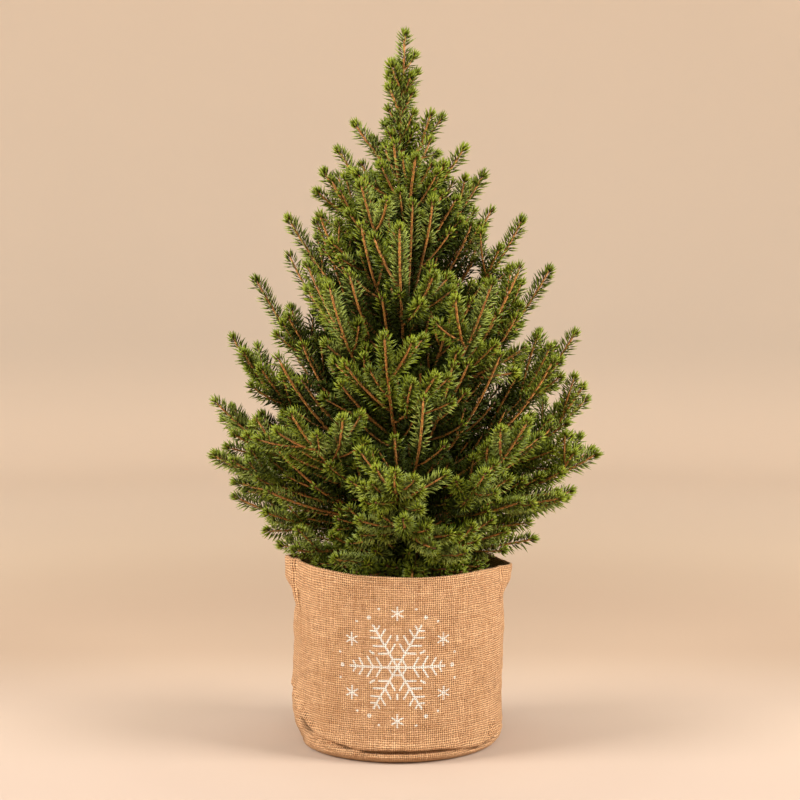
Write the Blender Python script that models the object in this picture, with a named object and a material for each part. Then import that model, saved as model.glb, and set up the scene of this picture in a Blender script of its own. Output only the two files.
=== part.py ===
"""A young Alberta spruce in its nursery pot, standing in a round sack of jute cloth.

The origin is the middle of the sack's flat underside, +Z is up and -Y is the front.
The trunk rises out of the soil and carries tiers of boughs. Each bough ends in a mass of
foliage: a stem that branches into side shoots by a seeded rule, every shoot a slim core with
needles standing out of it. The needles are fewer and larger than a real spruce's, and each
one stands for a small spray.
"""

import math
import random

import bmesh
import bpy
import numpy as np

# ---- Driving dimensions, in metres -------------------------------------------------------
TREE_TOP = 0.704  # tip of the leader's needles above the ground
CLEARANCE = 0.0003  # gap that separate solids keep
SEED = 4107

# ---- Sack, nursery pot and soil ----------------------------------------------------------
SACK_RADIUS = 0.1025
SACK_HEIGHT = 0.1805
SACK_WALL = 0.0018
SACK_CORNER = 0.014  # radius of the rounded edge round the underside
HEM_DEPTH = 0.021  # the top edge is turned in, so the cloth is double there
HEM_WALL = 0.0030
HEM_STEP = 0.0006  # its lower edge stands out this far
RIM_ROUND = 0.0012
EAR_FLARE = 0.0085  # how far the rim stands out at its two side seams
EAR_WIDTH = math.radians(17)
EAR_DEPTH = 0.036
EAR_FULL = 0.6  # the flare is at its full size above this share of its depth
LEFT_LIFT = 0.006  # the rim rises on the left, over a wider stretch than the ear's
LEFT_LIFT_WIDTH = math.radians(38)
LEFT_LIFT_TURN = math.radians(18)  # its top lies this far forward of the left seam
RIGHT_EAR_LIFT = -0.003
LIFT_CURVE = 1.6  # above 1 the lift is all near the rim
SACK_SIDES = 36
POT_RIM_RADIUS = 0.0978
POT_FOOT_RADIUS = 0.0830
POT_HEIGHT = 0.167
POT_WALL = 0.0014
POT_LIP = 0.0012  # how far the rolled lip stands out
POT_LIP_DEPTH = 0.012
POT_SIDES = 28
SOIL_TOP = 0.1605
SOIL_SINK = 0.005  # the soil lies this much lower at the pot's wall
SOIL_LUMP = 0.0013
SOIL_LEVEL_RADIUS = 0.018  # the soil is level up to here, round the trunk
SOIL_FALL = ((0.078, 0.6), (0.055, 0.3), (0.034, 0.0))  # radius, share of the sink there
LUMP_WAVES = (210, 170)  # radians per metre, along X and Y

# ---- Trunk -------------------------------------------------------------------------------
TRUNK_SIDES = 10
TRUNK_RINGS = 12
TRUNK_FOOT_RADIUS = 0.0062
TRUNK_TIP_RADIUS = 0.0018
FLARE = 0.0028  # extra radius of the root flare where the trunk meets the soil
FLARE_HEIGHT = 0.007
TRUNK_TIP = 0.604  # the leader shoot grows on from here
TRUNK_X = 0.0048  # the tree stands a little right of the sack's middle
TRUNK_SWAY = 0.0022
TRUNK_SWAY_LENGTH = 0.62  # height of one whole sway to the left and right
DEPTH_SWAY_RATE = 0.6  # it sways this much slower to the front and back
FLARE_STEPS = (0.0, 0.4, 1.0, 1.9, 3.2)  # rings of the root flare, over its height

# ---- Boughs ------------------------------------------------------------------------------
PATH_STEPS = 40  # straight steps in the middle line of a bough or shoot
BOUGH_SIDES = 6
BOUGH_RINGS = 3
BOUGH_ROOT_RADIUS = 0.0027
BOUGH_CURVE = 1.15  # above 1 a bough keeps its first rise longer before it turns up
BOUGH_SPACING = 0.0062  # between the middle lines of two boughs
BOUGH_TRIES = 80
HEIGHT_SPREAD = 0.007  # of the tips of one tier, up or down
START_RISE_SPREAD = 5  # degrees
TIP_RISE_SPREAD = 3  # degrees
AZIMUTH_SPREAD = 5  # degrees
SWAY_SPREAD = 0.10  # radians by which a bough swings out sideways halfway along

# ---- Side shoots -------------------------------------------------------------------------
FIRST_SIDE = 0.10  # share of a stem's length below its first side shoot
SIDE_ZONE = 0.64  # share of its length along which they stand
SIDE_SPREAD = (34, 50)  # degrees between a side shoot and its stem
SIDE_ROLL = 0.85  # radians that it may turn up or down round the stem
SIDE_LENGTHS = (0.034, 0.085)
PLACE_SPREAD = (0.1, 0.9)  # where a side shoot stands within its share of the zone
SIDE_LENGTH_SPREAD = (0.85, 1.15)
TIP_SIDE_SHARE = 0.26  # its length over the stem's, at the stem's tip
ROOT_SIDE_SHARE = 0.68  # and at the stem's root
SIDE_FOLLOW = 0.55  # how strongly it bends back along its stem
SIDE_LIFT = 0.30  # and upwards, to the light
NEARLY_UP = (0.0, 0.12, 1.0)  # upright, but never quite along a shoot
SIDE_TRIES = 16
SHORTER_TRIES = (1.0, 0.8, 0.6, 0.45)
ROOT_ZONE = 0.011  # along its root a side shoot may be nearer its own stem
ROOT_POINTS = 4  # points of a side shoot's middle line that lie in its root
SHOOT_SPACING = 0.0145  # between the middle lines of shoots of two masses
OWN_SPACING = 0.0062  # between the middle lines of shoots of one mass
NEEDLE_ROOM = 0.006  # height a shoot's middle line keeps over the soil and the rim
LEADER_LEAN = (0.0020, -0.0010)  # of the leader's tip, from the trunk's middle
LEADER_SIDES = 4

# ---- Cores and needles -------------------------------------------------------------------
STEM_RADIUS = 0.0019
SHOOT_RADIUS = 0.0016
SHOOT_TIP_RADIUS = 0.0010
ROOT_STEP = 0.006  # first step of a core, next to the trunk or inside its stem
CORE_STEP = 0.0177  # length of one step of a shoot's core, which has six needles
LIGHT_DEPTH = 0.115  # needles stand only this far in from the crown's outline, where light reaches
NEEDLE_LENGTH = 0.0138
NEEDLE_SLANT = math.radians(50)  # between a needle and its shoot
TUFT_LENGTH = 0.0085  # the needles round the end bud reach this far past the shoot
TUFT_SLANT = math.radians(24)
BUD_LENGTH = 0.0045
SLANT_SPREAD = 0.14  # radians
LENGTH_SPREAD = (0.86, 1.08)
NEEDLE_CUTS = (1.0, 0.8, 0.6, 0.42)  # a needle short of room is tried at these lengths
TEST_SHARES = (0.4, 0.7, 1.0)  # points along a needle that need room
MASS_GAP = 0.0012  # how much nearer a needle lies to its own shoot than to another mass
KIN_GAP = 0.0003  # and than to another shoot of its own mass
TRUNK_GAP = 0.0009  # between a needle and the trunk
SOIL_GAP = 0.0045  # between needles and the soil, which has lumps
RIM_GAP = 0.0012  # between needles and the sack's highest ear
BESIDE_RIM = 0.004  # needles beyond the sack stay this far above its rim
RIM_ZONE = (POT_RIM_RADIUS - 0.005, SACK_RADIUS + EAR_FLARE + 0.003)
NEIGHBOUR_RANGE = 0.04  # shoots further off than this can't meet a needle
SAMPLE_STEP = 0.0025  # between the points of a middle line that needles are measured from

# Height and furthest reach of the needles, from the foot of the crown to its tip.
CROWN_OUTLINE = (
    (0.165, 0.100), (0.195, 0.124), (0.225, 0.158), (0.255, 0.182), (0.300, 0.198), (0.340, 0.192),
    (0.410, 0.172), (0.470, 0.149), (0.535, 0.111), (0.572, 0.079), (0.622, 0.045), (0.642, 0.024),
    (0.680, 0.019), (TREE_TOP, 0.002),
)

# A tier: name, height of its tips, rise of its boughs at the trunk and at the tip in
# degrees, share of the length that is a bare bough (0: its masses meet the trunk), side
# shoots on each stem, and the directions of its boughs in degrees from +X.
TIERS = (
    ("skirt", 0.203, -6, 12, 0.00, 2, (188, 352, 243, 295, 62)),
    ("base", 0.250, 2, 24, 0.00, 3, (176, 8, 262, 116)),
    ("low", 0.290, 8, 32, 0.32, 3, (186, 354, 270, 42, 138)),
    ("wide", 0.339, 16, 48, 0.30, 3, (177, 5, 234, 306, 90)),
    ("broad", 0.411, 28, 60, 0.28, 4, (184, 357, 268, 118)),
    ("middle", 0.468, 36, 62, 0.00, 3, (179, 2, 240, 304, 80)),
    ("high", 0.523, 42, 64, 0.00, 3, (185, 356, 274, 100)),
    ("upper", 0.563, 44, 62, 0.00, 2, (177, 3, 240, 64)),
    ("crown", 0.588, 44, 58, 0.00, 1, (186, 354, 285)),
    ("top", 0.621, 44, 56, 0.00, 1, (178, 6)),
)


# ---- Outline of the crown and line of the trunk ------------------------------------------
def unit(vector):
    """A vector, or each row of an array, at length 1."""
    return vector / np.linalg.norm(vector, axis=-1, keepdims=True)


def crown_reach(height):
    """Furthest reach of the needles at a height."""
    heights, reaches = np.array(CROWN_OUTLINE).T
    return np.interp(height, heights, reaches)


def trunk_centre(height):
    """Middle of the trunk at a height: it sways a little to each side on its way up."""
    turn = 2 * math.pi * (height - SOIL_TOP) / TRUNK_SWAY_LENGTH
    aside = TRUNK_SWAY * math.sin(turn)
    back = TRUNK_SWAY * math.sin(DEPTH_SWAY_RATE * turn)
    return np.array([TRUNK_X + aside, back, height])


def trunk_radius(height):
    """An even taper, widened by the root flare near the soil."""
    share = (height - SOIL_TOP) / (TRUNK_TIP - SOIL_TOP)
    flare = FLARE * math.exp(-(height - SOIL_TOP) / FLARE_HEIGHT)
    return TRUNK_FOOT_RADIUS + (TRUNK_TIP_RADIUS - TRUNK_FOOT_RADIUS) * share + flare


# ---- Branching rule ----------------------------------------------------------------------
def heading(azimuth, rise):
    """Unit vectors from angles in radians, the rise counted from the level."""
    parts = [np.cos(rise) * np.cos(azimuth), np.cos(rise) * np.sin(azimuth), np.sin(rise)]
    return np.stack(np.broadcast_arrays(*parts), axis=-1)


def bough_line(tip_height, rise_start, rise_end, azimuth, sway):
    """Middle line of a bough and its stem, from the trunk's middle out to the crown's outline.

    Its rise grows along its length, and its direction swings out and back by the sway."""
    along = (np.arange(PATH_STEPS) + 0.5) / PATH_STEPS
    rise = np.radians(rise_start + (rise_end - rise_start) * along**BOUGH_CURVE)
    ways = heading(math.radians(azimuth) + sway * np.sin(math.pi * along), rise)
    outward = heading(math.radians(azimuth), 0.0)
    reach = crown_reach(tip_height) - TUFT_LENGTH * math.cos(rise[-1])
    length = reach / (ways @ outward).mean()
    line = np.vstack([np.zeros(3), np.cumsum(ways, axis=0)]) * length / PATH_STEPS
    foot_height = tip_height - TUFT_LENGTH * math.sin(rise[-1]) - line[-1, 2]
    return line + trunk_centre(foot_height)


def side_line(start, way, parent_way, length):
    """Middle line of a side shoot: it leaves its parent, then bends back along it and up."""
    bend = (np.arange(PATH_STEPS)[:, None] + 0.5) / PATH_STEPS
    up = np.array([0.0, 0.0, 1.0])
    ways = unit(way + bend * (SIDE_FOLLOW * parent_way + SIDE_LIFT * up))
    return start + np.vstack([np.zeros(3), np.cumsum(ways, axis=0)]) * length / PATH_STEPS


def walked_distances(line):
    """How far along a line each of its points is."""
    return np.concatenate([[0.0], np.cumsum(np.linalg.norm(np.diff(line, axis=0), axis=1))])


def line_length(line):
    return walked_distances(line)[-1]


def points_along(line, distances):
    """Points of a line at given distances along it."""
    walked = walked_distances(line)
    return np.stack([np.interp(distances, walked, line[:, axis]) for axis in range(3)], axis=1)


def inside_crown(line):
    """Whether a shoot and its end tuft stay within the crown's outline."""
    tip = line[-1] + unit(line[-1] - line[-4]) * TUFT_LENGTH
    reach = math.hypot(tip[0] - TRUNK_X, tip[1])
    return tip[2] < TREE_TOP and reach < crown_reach(tip[2])


def sack_floor(points):
    """Lowest height that foliage may have over the soil, over the sack's rim and beyond it."""
    reach = np.hypot(points[..., 0], points[..., 1])
    inside, outside = RIM_ZONE
    over_rim = np.where(reach < outside, SACK_HEIGHT + LEFT_LIFT + RIM_GAP, SACK_HEIGHT + BESIDE_RIM)
    return np.where(reach < inside, SOIL_TOP + SOIL_GAP, over_rim)


def gap_between(line, others):
    """Least distance between the points of two arrays."""
    if len(others) == 0:
        return math.inf
    return np.linalg.norm(line[:, None, :] - others[None, :, :], axis=2).min()


def tier_masses():
    """The stems of all tiers, each with the bare bough that carries it, or None.

    A bough that would pass too near one already placed is drawn again."""
    masses = []
    taken = np.zeros((0, 3))
    for tier, (name, height, rise_start, rise_end, bare, sides, azimuths) in enumerate(TIERS):
        for number, azimuth in enumerate(azimuths):
            draw = random.Random(SEED + 100 * tier + number)
            for _ in range(BOUGH_TRIES):
                line = bough_line(
                    height + draw.uniform(-HEIGHT_SPREAD, HEIGHT_SPREAD),
                    rise_start + draw.uniform(-START_RISE_SPREAD, START_RISE_SPREAD),
                    rise_end + draw.uniform(-TIP_RISE_SPREAD, TIP_RISE_SPREAD),
                    azimuth + draw.uniform(-AZIMUTH_SPREAD, AZIMUTH_SPREAD),
                    draw.uniform(-SWAY_SPREAD, SWAY_SPREAD),
                )
                if gap_between(line[1:], taken) > BOUGH_SPACING:
                    break
            taken = np.vstack([taken, line[1:]])
            split = round(bare * PATH_STEPS)
            masses.append({
                "name": f"{name}_{number + 1}",
                "bough": line[: split + 1] if split else None,
                "stem": line[split:],
                "sides": sides,
                "draw": draw,
            })
    return masses


def leader_mass():
    """The topmost shoot, which grows on from the trunk's tip."""
    foot = trunk_centre(TRUNK_TIP)
    tip = np.array([TRUNK_X + LEADER_LEAN[0], LEADER_LEAN[1], TREE_TOP - TUFT_LENGTH])
    line = foot + (tip - foot) * np.linspace(0.0, 1.0, PATH_STEPS + 1)[:, None]
    draw = random.Random(SEED + 100 * len(TIERS))
    return {"name": "leader", "bough": None, "stem": line, "sides": LEADER_SIDES, "draw": draw}


def side_choice(mass, number, attempt, shorter):
    """One way a side shoot could grow: its middle line, and where on the stem it starts."""
    stem, draw = mass["stem"], mass["draw"]
    share = FIRST_SIDE + SIDE_ZONE * (number + draw.uniform(*PLACE_SPREAD)) / mass["sides"]
    node = round(share * (len(stem) - 1))
    way = unit(stem[node + 1] - stem[node - 1])
    across = unit(np.cross(way, NEARLY_UP))
    over = np.cross(across, way)
    other_hand = (number + attempt // (SIDE_TRIES // 2)) % 2
    roll = math.pi * other_hand + draw.uniform(-SIDE_ROLL, SIDE_ROLL)
    spread = math.radians(draw.uniform(*SIDE_SPREAD))
    out = math.cos(roll) * across + math.sin(roll) * over
    ratio = TIP_SIDE_SHARE + (ROOT_SIDE_SHARE - TIP_SIDE_SHARE) * (1 - share)
    length = ratio * line_length(stem) * draw.uniform(*SIDE_LENGTH_SPREAD)
    length = min(max(length, SIDE_LENGTHS[0]), SIDE_LENGTHS[1]) * shorter
    return side_line(stem[node], math.cos(spread) * way + math.sin(spread) * out, way, length), node


def grow_side(mass, number, others):
    """A side shoot that keeps its distance from every other one, or None after enough tries."""
    stem = mass["stem"]
    for attempt in range(SIDE_TRIES):
        for shorter in SHORTER_TRIES:
            line, node = side_choice(mass, number, attempt, shorter)
            beyond = points_along(line, np.linspace(ROOT_ZONE, line_length(line), PATH_STEPS // 3))
            own = [stem[: max(node - 1, 1)], stem[node + 2 :]]
            own += [side[ROOT_POINTS:] for side in mass["shoots"][1:]]
            if (
                inside_crown(line)
                and (line[ROOT_POINTS:, 2] > sack_floor(line[ROOT_POINTS:]) + NEEDLE_ROOM).all()
                and gap_between(beyond, others) > SHOOT_SPACING
                and gap_between(beyond, np.vstack(own)) > OWN_SPACING
            ):
                return line
    return None


def grow_masses():
    """Every mass with its shoots, the stem first. Side shoots keep clear of all stems."""
    masses = tier_masses() + [leader_mass()]
    lines = [[part for part in (mass["bough"], mass["stem"]) if part is not None] for mass in masses]
    for index, mass in enumerate(masses):
        mass["shoots"] = [mass["stem"]]
        for number in range(mass["sides"]):
            others = np.vstack([line for k, group in enumerate(lines) if k != index for line in group])
            side = grow_side(mass, number, others)
            if side is not None:
                mass["shoots"].append(side)
                lines[index].append(side)
    return masses


# ---- Shapes of trunk, boughs and shoots --------------------------------------------------
def frames_along(line, distances):
    """Points of a line, its direction there, and two directions across it that don't twist."""
    steps = unit(np.diff(line, axis=0))
    turns = np.vstack([steps[:1], unit(steps[1:] + steps[:-1]), steps[-1:]])
    walked = walked_distances(line)
    ways = unit(np.stack([np.interp(distances, walked, turns[:, axis]) for axis in range(3)], axis=1))
    side = unit(np.cross(ways[0], NEARLY_UP))
    sides = []
    for way in ways:
        side = unit(side - way * (side @ way))
        sides.append(side)
    sides = np.array(sides)
    return points_along(line, distances), ways, sides, np.cross(ways, sides)


def ring(point, side, over, radius, count, turn=0.0):
    """A ring of points round a point, counter-clockwise as seen from ahead."""
    angles = turn + 2 * math.pi * np.arange(count) / count
    return point + radius * (np.cos(angles)[:, None] * side + np.sin(angles)[:, None] * over)


def seat_on_trunk(points, way):
    """Points slid along a direction onto an upright plane just clear of the trunk's surface."""
    outward = unit(np.array([way[0], way[1], 0.0]))
    for _ in range(8):
        centres = np.array([trunk_centre(point[2]) for point in points])
        targets = np.array([trunk_radius(point[2]) for point in points]) + CLEARANCE
        short = targets - (points - centres) @ outward
        points = points + way * (short / (way @ outward))[:, None]
    return points


def seat_distance(line):
    """How far along its middle line a bough leaves the trunk's surface."""
    way = unit(line[1] - line[0])
    seat = seat_on_trunk((line[0] + way * 2 * trunk_radius(line[0][2]))[None, :], way)[0]
    return np.linalg.norm(seat - line[0])


class Shape:
    """Points and faces of one closed solid, gathered piece by piece."""

    def __init__(self):
        self.points = []
        self.faces = []

    def add(self, points):
        """Adds points and gives back their numbers."""
        first = len(self.points)
        self.points.extend(np.atleast_2d(points))
        return list(range(first, len(self.points)))

    def fan(self, loop, middle):
        """Closes a loop of points towards one point."""
        for number, point in enumerate(loop):
            self.faces.append((point, loop[(number + 1) % len(loop)], middle))

    def band(self, lower, upper):
        """Quads between two loops with as many points each."""
        for number in range(len(lower)):
            after = (number + 1) % len(lower)
            self.faces.append((lower[number], lower[after], upper[after], upper[number]))


def tapered_limb(line, root_radius, tip_radius):
    """A bare bough: a tapering limb from the trunk's surface to a flat end."""
    start = seat_distance(line)
    distances = np.concatenate([[start], np.linspace(start + ROOT_STEP, line_length(line), BOUGH_RINGS)])
    radii = np.linspace(root_radius, tip_radius, len(distances))
    points, ways, sides, overs = frames_along(line, distances)
    shape = Shape()
    rings = [ring(points[k], sides[k], overs[k], radii[k], BOUGH_SIDES) for k in range(len(distances))]
    loops = [shape.add(seat_on_trunk(rings[0], ways[0]))] + [shape.add(points) for points in rings[1:]]
    shape.fan(loops[0][::-1], shape.add(seat_on_trunk(points[:1], ways[0]))[0])
    for lower, upper in zip(loops, loops[1:]):
        shape.band(lower, upper)
    shape.fan(loops[-1], shape.add(points[-1])[0])
    return shape


def trunk_shape():
    """The whole trunk: root flare, even taper, a flat cut at the soil and another at its tip."""
    flare_heights = SOIL_TOP + CLEARANCE + FLARE_HEIGHT * np.array(FLARE_STEPS)
    heights = np.concatenate([flare_heights, np.linspace(flare_heights[-1], TRUNK_TIP, TRUNK_RINGS)[1:]])
    east = np.array([1.0, 0.0, 0.0])
    north = np.array([0.0, 1.0, 0.0])
    shape = Shape()
    loops = []
    for height in heights:
        loops.append(shape.add(ring(trunk_centre(height), east, north, trunk_radius(height), TRUNK_SIDES)))
    shape.fan(loops[0][::-1], shape.add(trunk_centre(heights[0]))[0])
    for lower, upper in zip(loops, loops[1:]):
        shape.band(lower, upper)
    shape.fan(loops[-1], shape.add(trunk_centre(heights[-1]))[0])
    return shape


def has_room(points, own, kin, others):
    """Whether points lie nearest their own shoot and clear of trunk, soil, sack and rim."""
    def nearest(line):
        if len(line) == 0:
            return np.full(points.shape[:-1], math.inf)
        return np.linalg.norm(points[..., None, :] - line, axis=-1).min(axis=-1)

    heights = points[..., 2].ravel()
    centres = np.array([trunk_centre(height) for height in heights]).reshape(points.shape)
    radii = np.array([trunk_radius(min(height, TRUNK_TIP)) for height in heights]).reshape(points.shape[:-1])
    from_trunk = np.linalg.norm((points - centres)[..., :2], axis=-1)
    clear_of_trunk = (from_trunk > radii + TRUNK_GAP) | (points[..., 2] > TRUNK_TIP + TRUNK_GAP)
    distance = nearest(own)
    free = (distance < nearest(kin) - KIN_GAP) & (distance < nearest(others) - MASS_GAP)
    return free & clear_of_trunk & (points[..., 2] > sack_floor(points))


def in_light(point):
    """Whether a point is far enough out in the crown to bear needles."""
    reach = math.hypot(point[0] - TRUNK_X, point[1])
    return reach > crown_reach(point[2]) - LIGHT_DEPTH


def foot_and_outward(shape, face, middle, way):
    """The middle of a core's face, and the direction from the core's middle line out to it."""
    foot = np.mean([shape.points[corner] for corner in face], axis=0)
    out = foot - middle
    return foot, unit(out - way * (out @ way))


def add_needle(shape, face, middle, way, room, draw):
    """A spike on one face of a shoot's core, as long as its space allows, or the bare face."""
    foot, outward = foot_and_outward(shape, face, middle, way)
    slant = NEEDLE_SLANT + draw.uniform(-SLANT_SPREAD, SLANT_SPREAD)
    lean = math.cos(slant) * way + math.sin(slant) * outward
    length = NEEDLE_LENGTH * draw.uniform(*LENGTH_SPREAD)
    for cut in NEEDLE_CUTS:
        tries = foot + lean * length * cut * np.array(TEST_SHARES)[:, None]
        if in_light(tries[-1]) and room(tries).all():
            shape.fan(face, shape.add(tries[-1])[0])
            return
    shape.faces.append(tuple(face))


def core_loops(shape, line, distances, root_radius, seated, is_side):
    """The rings of a shoot's core, each turned by a sixth, and the start that closes them.

    A side shoot starts from a point inside its stem. A stem starts flat, either against the
    end of its bough or seated on the trunk."""
    points, ways, sides, overs = frames_along(line, distances)
    radii = np.linspace(root_radius, SHOOT_TIP_RADIUS, len(distances))
    rings = [ring(points[k], sides[k], overs[k], radii[k], 3, k * math.pi / 3) for k in range(len(radii))]
    if is_side:
        loops = [shape.add(corners) for corners in rings[1:]]
        shape.fan(loops[0][::-1], shape.add(points[0])[0])
        return loops, points[1:], ways[1:]
    if seated:
        rings[0] = seat_on_trunk(rings[0], ways[0])
    loops = [shape.add(corners) for corners in rings]
    shape.faces.append(tuple(loops[0][::-1]))
    return loops, points, ways


def shoot_shape(line, root_radius, seated, is_side, room, draw):
    """One shoot: a slim three-sided core with a needle on each face and a tuft at its tip."""
    length = line_length(line)
    start = seat_distance(line) if seated else CLEARANCE * (not is_side)
    first = start + ROOT_STEP * (seated or is_side)
    distances = np.linspace(first, length, max(2, round((length - first) / CORE_STEP)) + 1)
    if seated or is_side:
        distances = np.concatenate([[start], distances])
    shape = Shape()
    loops, points, ways = core_loops(shape, line, distances, root_radius, seated, is_side)
    for k, (lower, upper) in enumerate(zip(loops, loops[1:])):
        middle = (points[k] + points[k + 1]) / 2
        for j in range(3):
            after = (j + 1) % 3
            for face in ((lower[j], lower[after], upper[j]), (lower[after], upper[after], upper[j])):
                if seated and k == 0:
                    shape.faces.append(face)
                else:
                    add_needle(shape, face, middle, ways[k], room, draw)
    add_tuft(shape, loops[-1], points[-1], ways[-1])
    return shape


def add_tuft(shape, loop, tip, way):
    """The end bud, with three needles that close round it."""
    bud = shape.add(tip + way * BUD_LENGTH)[0]
    for j in range(3):
        face = (loop[j], loop[(j + 1) % 3], bud)
        foot, outward = foot_and_outward(shape, face, tip, way)
        reach = TUFT_LENGTH - (foot - tip) @ way
        apex = foot + way * reach + outward * reach * math.tan(TUFT_SLANT)
        shape.fan(face, shape.add(apex)[0])


# ---- Blender objects ---------------------------------------------------------------------
def clear_scene():
    for item in list(bpy.data.objects):
        bpy.data.objects.remove(item, do_unlink=True)


def plain_material(name, colour, roughness):
    material = bpy.data.materials.new(name)
    material.use_nodes = True
    shader = material.node_tree.nodes["Principled BSDF"]
    shader.inputs["Base Color"].default_value = (*colour, 1.0)
    shader.inputs["Roughness"].default_value = roughness
    shader.inputs["Metallic"].default_value = 0.0
    material.diffuse_color = (*colour, 1.0)
    return material


def solid_object(name, shape, material, collection=None):
    """An object made of triangles from a shape's points and faces."""
    mesh = bpy.data.meshes.new(name)
    mesh.from_pydata([tuple(point) for point in shape.points], [], shape.faces)
    mesh.materials.append(material)
    triangulate(mesh)
    solid = bpy.data.objects.new(name, mesh)
    (collection or bpy.context.scene.collection).objects.link(solid)
    return solid


def triangulate(mesh):
    work = bmesh.new()
    work.from_mesh(mesh)
    bmesh.ops.triangulate(work, faces=work.faces)
    work.to_mesh(mesh)
    work.free()


def drop_scraps(mesh):
    """Keeps only the largest shell, so that loose scraps go and sealed hollows are filled."""
    work = bmesh.new()
    work.from_mesh(mesh)
    left = set(work.verts)
    shells = []
    while left:
        shell = {left.pop()}
        front = list(shell)
        while front:
            vertex = front.pop()
            for edge in vertex.link_edges:
                other = edge.other_vert(vertex)
                if other not in shell:
                    shell.add(other)
                    front.append(other)
        left -= shell
        shells.append(shell)
    largest = max(shells, key=len)
    bmesh.ops.delete(work, geom=[vertex for vertex in work.verts if vertex not in largest], context="VERTS")
    work.to_mesh(mesh)
    work.free()


def join_mass(name, shapes, material):
    """One solid from a stem and its side shoots, joined by one Boolean union."""
    mass = solid_object(name, shapes[0], material)
    if len(shapes) == 1:
        return mass
    sides = bpy.data.collections.new(f"{name}_sides")
    bpy.context.scene.collection.children.link(sides)
    for number, shape in enumerate(shapes[1:]):
        solid_object(f"{name}_side_{number + 1}", shape, material, sides)
    union = mass.modifiers.new("union", "BOOLEAN")
    union.operation = "UNION"
    union.operand_type = "COLLECTION"
    union.collection = sides
    union.solver = "EXACT"
    graph = bpy.context.evaluated_depsgraph_get()
    mass.data = bpy.data.meshes.new_from_object(mass.evaluated_get(graph))
    mass.modifiers.clear()
    for side in list(sides.objects):
        bpy.data.objects.remove(side, do_unlink=True)
    bpy.data.collections.remove(sides)
    triangulate(mass.data)
    drop_scraps(mass.data)
    return mass


# ---- Sack, pot and soil ------------------------------------------------------------------
def turned_shape(profile, sides, bend=None):
    """A solid of revolution from the middle of its underside, out, up and back to the axis."""
    east = np.array([1.0, 0.0, 0.0])
    north = np.array([0.0, 1.0, 0.0])
    shape = Shape()
    loops = []
    for radius, height in profile[1:-1]:
        points = ring(np.array([0.0, 0.0, height]), east, north, radius, sides)
        loops.append(shape.add(points if bend is None else bend(points)))
    shape.fan(loops[0][::-1], shape.add(np.array([0.0, 0.0, profile[0][1]]))[0])
    for lower, upper in zip(loops, loops[1:]):
        shape.band(lower, upper)
    shape.fan(loops[-1], shape.add(np.array([0.0, 0.0, profile[-1][1]]))[0])
    return shape


def turned_from(azimuths, centre, width):
    """One at a direction, falling to nothing over about twice the width to either side."""
    turn = (azimuths - centre + math.pi) % (2 * math.pi) - math.pi
    return np.exp(-((turn / width) ** 2))


def sack_ears(points):
    """The cloth stands out at the two side seams, where it is gathered. The rim rises on the
    left and sinks a little at the right seam."""
    azimuths = np.arctan2(points[:, 1], points[:, 0])
    above = np.clip((points[:, 2] - (SACK_HEIGHT - EAR_DEPTH)) / EAR_DEPTH, 0.0, 1.0)
    full = np.minimum(above / EAR_FULL, 1.0)
    right = turned_from(azimuths, 0.0, EAR_WIDTH)
    ears = right + turned_from(azimuths, math.pi, EAR_WIDTH)
    risen = turned_from(azimuths, math.pi + LEFT_LIFT_TURN, LEFT_LIFT_WIDTH)
    outward = points[:, :2] / np.linalg.norm(points[:, :2], axis=1, keepdims=True)
    moved = points.copy()
    moved[:, :2] += outward * (EAR_FLARE * full**2 * (3 - 2 * full) * ears)[:, None]
    moved[:, 2] += above**LIFT_CURVE * (LEFT_LIFT * risen + RIGHT_EAR_LIFT * right)
    return moved


def sack_profile():
    """Outer side from the middle of the underside to the rim, then the inner side down."""
    corner = [math.radians(angle) for angle in (0, 30, 60, 90)]
    flat = SACK_RADIUS - SACK_CORNER
    outer = [(flat + SACK_CORNER * math.sin(a), SACK_CORNER * (1 - math.cos(a))) for a in corner]
    hem = SACK_HEIGHT - HEM_DEPTH
    ear_foot = SACK_HEIGHT - EAR_DEPTH
    hem_outside = SACK_RADIUS + HEM_STEP
    hem_inside = hem_outside - HEM_WALL
    inside = SACK_RADIUS - SACK_WALL
    inner_flat = flat - SACK_WALL
    return [
        (0.0, 0.0),
        *outer,
        (SACK_RADIUS, (SACK_CORNER + hem) / 2),
        (SACK_RADIUS, ear_foot),
        (SACK_RADIUS, hem - HEM_STEP),
        (hem_outside, hem + HEM_STEP),
        (hem_outside, SACK_HEIGHT - RIM_ROUND),
        ((hem_outside + hem_inside) / 2, SACK_HEIGHT),
        (hem_inside, SACK_HEIGHT - RIM_ROUND),
        (hem_inside, hem),
        (inside, hem - 2 * HEM_STEP),
        (inside, ear_foot),
        (inside, SACK_CORNER),
        (inner_flat + (inside - inner_flat) * 0.6, SACK_CORNER * 0.35),
        (inner_flat, SACK_WALL),
        (0.0, SACK_WALL),
    ]


def pot_inner_radius(height):
    """Inside radius of the tapered pot at a height."""
    share = (height - pot_base()) / POT_HEIGHT
    return POT_FOOT_RADIUS + (POT_RIM_RADIUS - POT_FOOT_RADIUS) * share - POT_WALL


def pot_base():
    """The pot stands on the sack's floor."""
    return SACK_WALL + CLEARANCE


def pot_profile():
    base = pot_base()
    rim = base + POT_HEIGHT
    lip = rim - POT_LIP_DEPTH
    lip_radius = pot_inner_radius(lip) + POT_WALL
    return [
        (0.0, base),
        (POT_FOOT_RADIUS, base),
        (lip_radius, lip),
        (POT_RIM_RADIUS + POT_LIP, lip),
        (POT_RIM_RADIUS + POT_LIP, rim),
        (pot_inner_radius(rim), rim),
        (pot_inner_radius(base + POT_WALL), base + POT_WALL),
        (0.0, base + POT_WALL),
    ]


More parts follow.
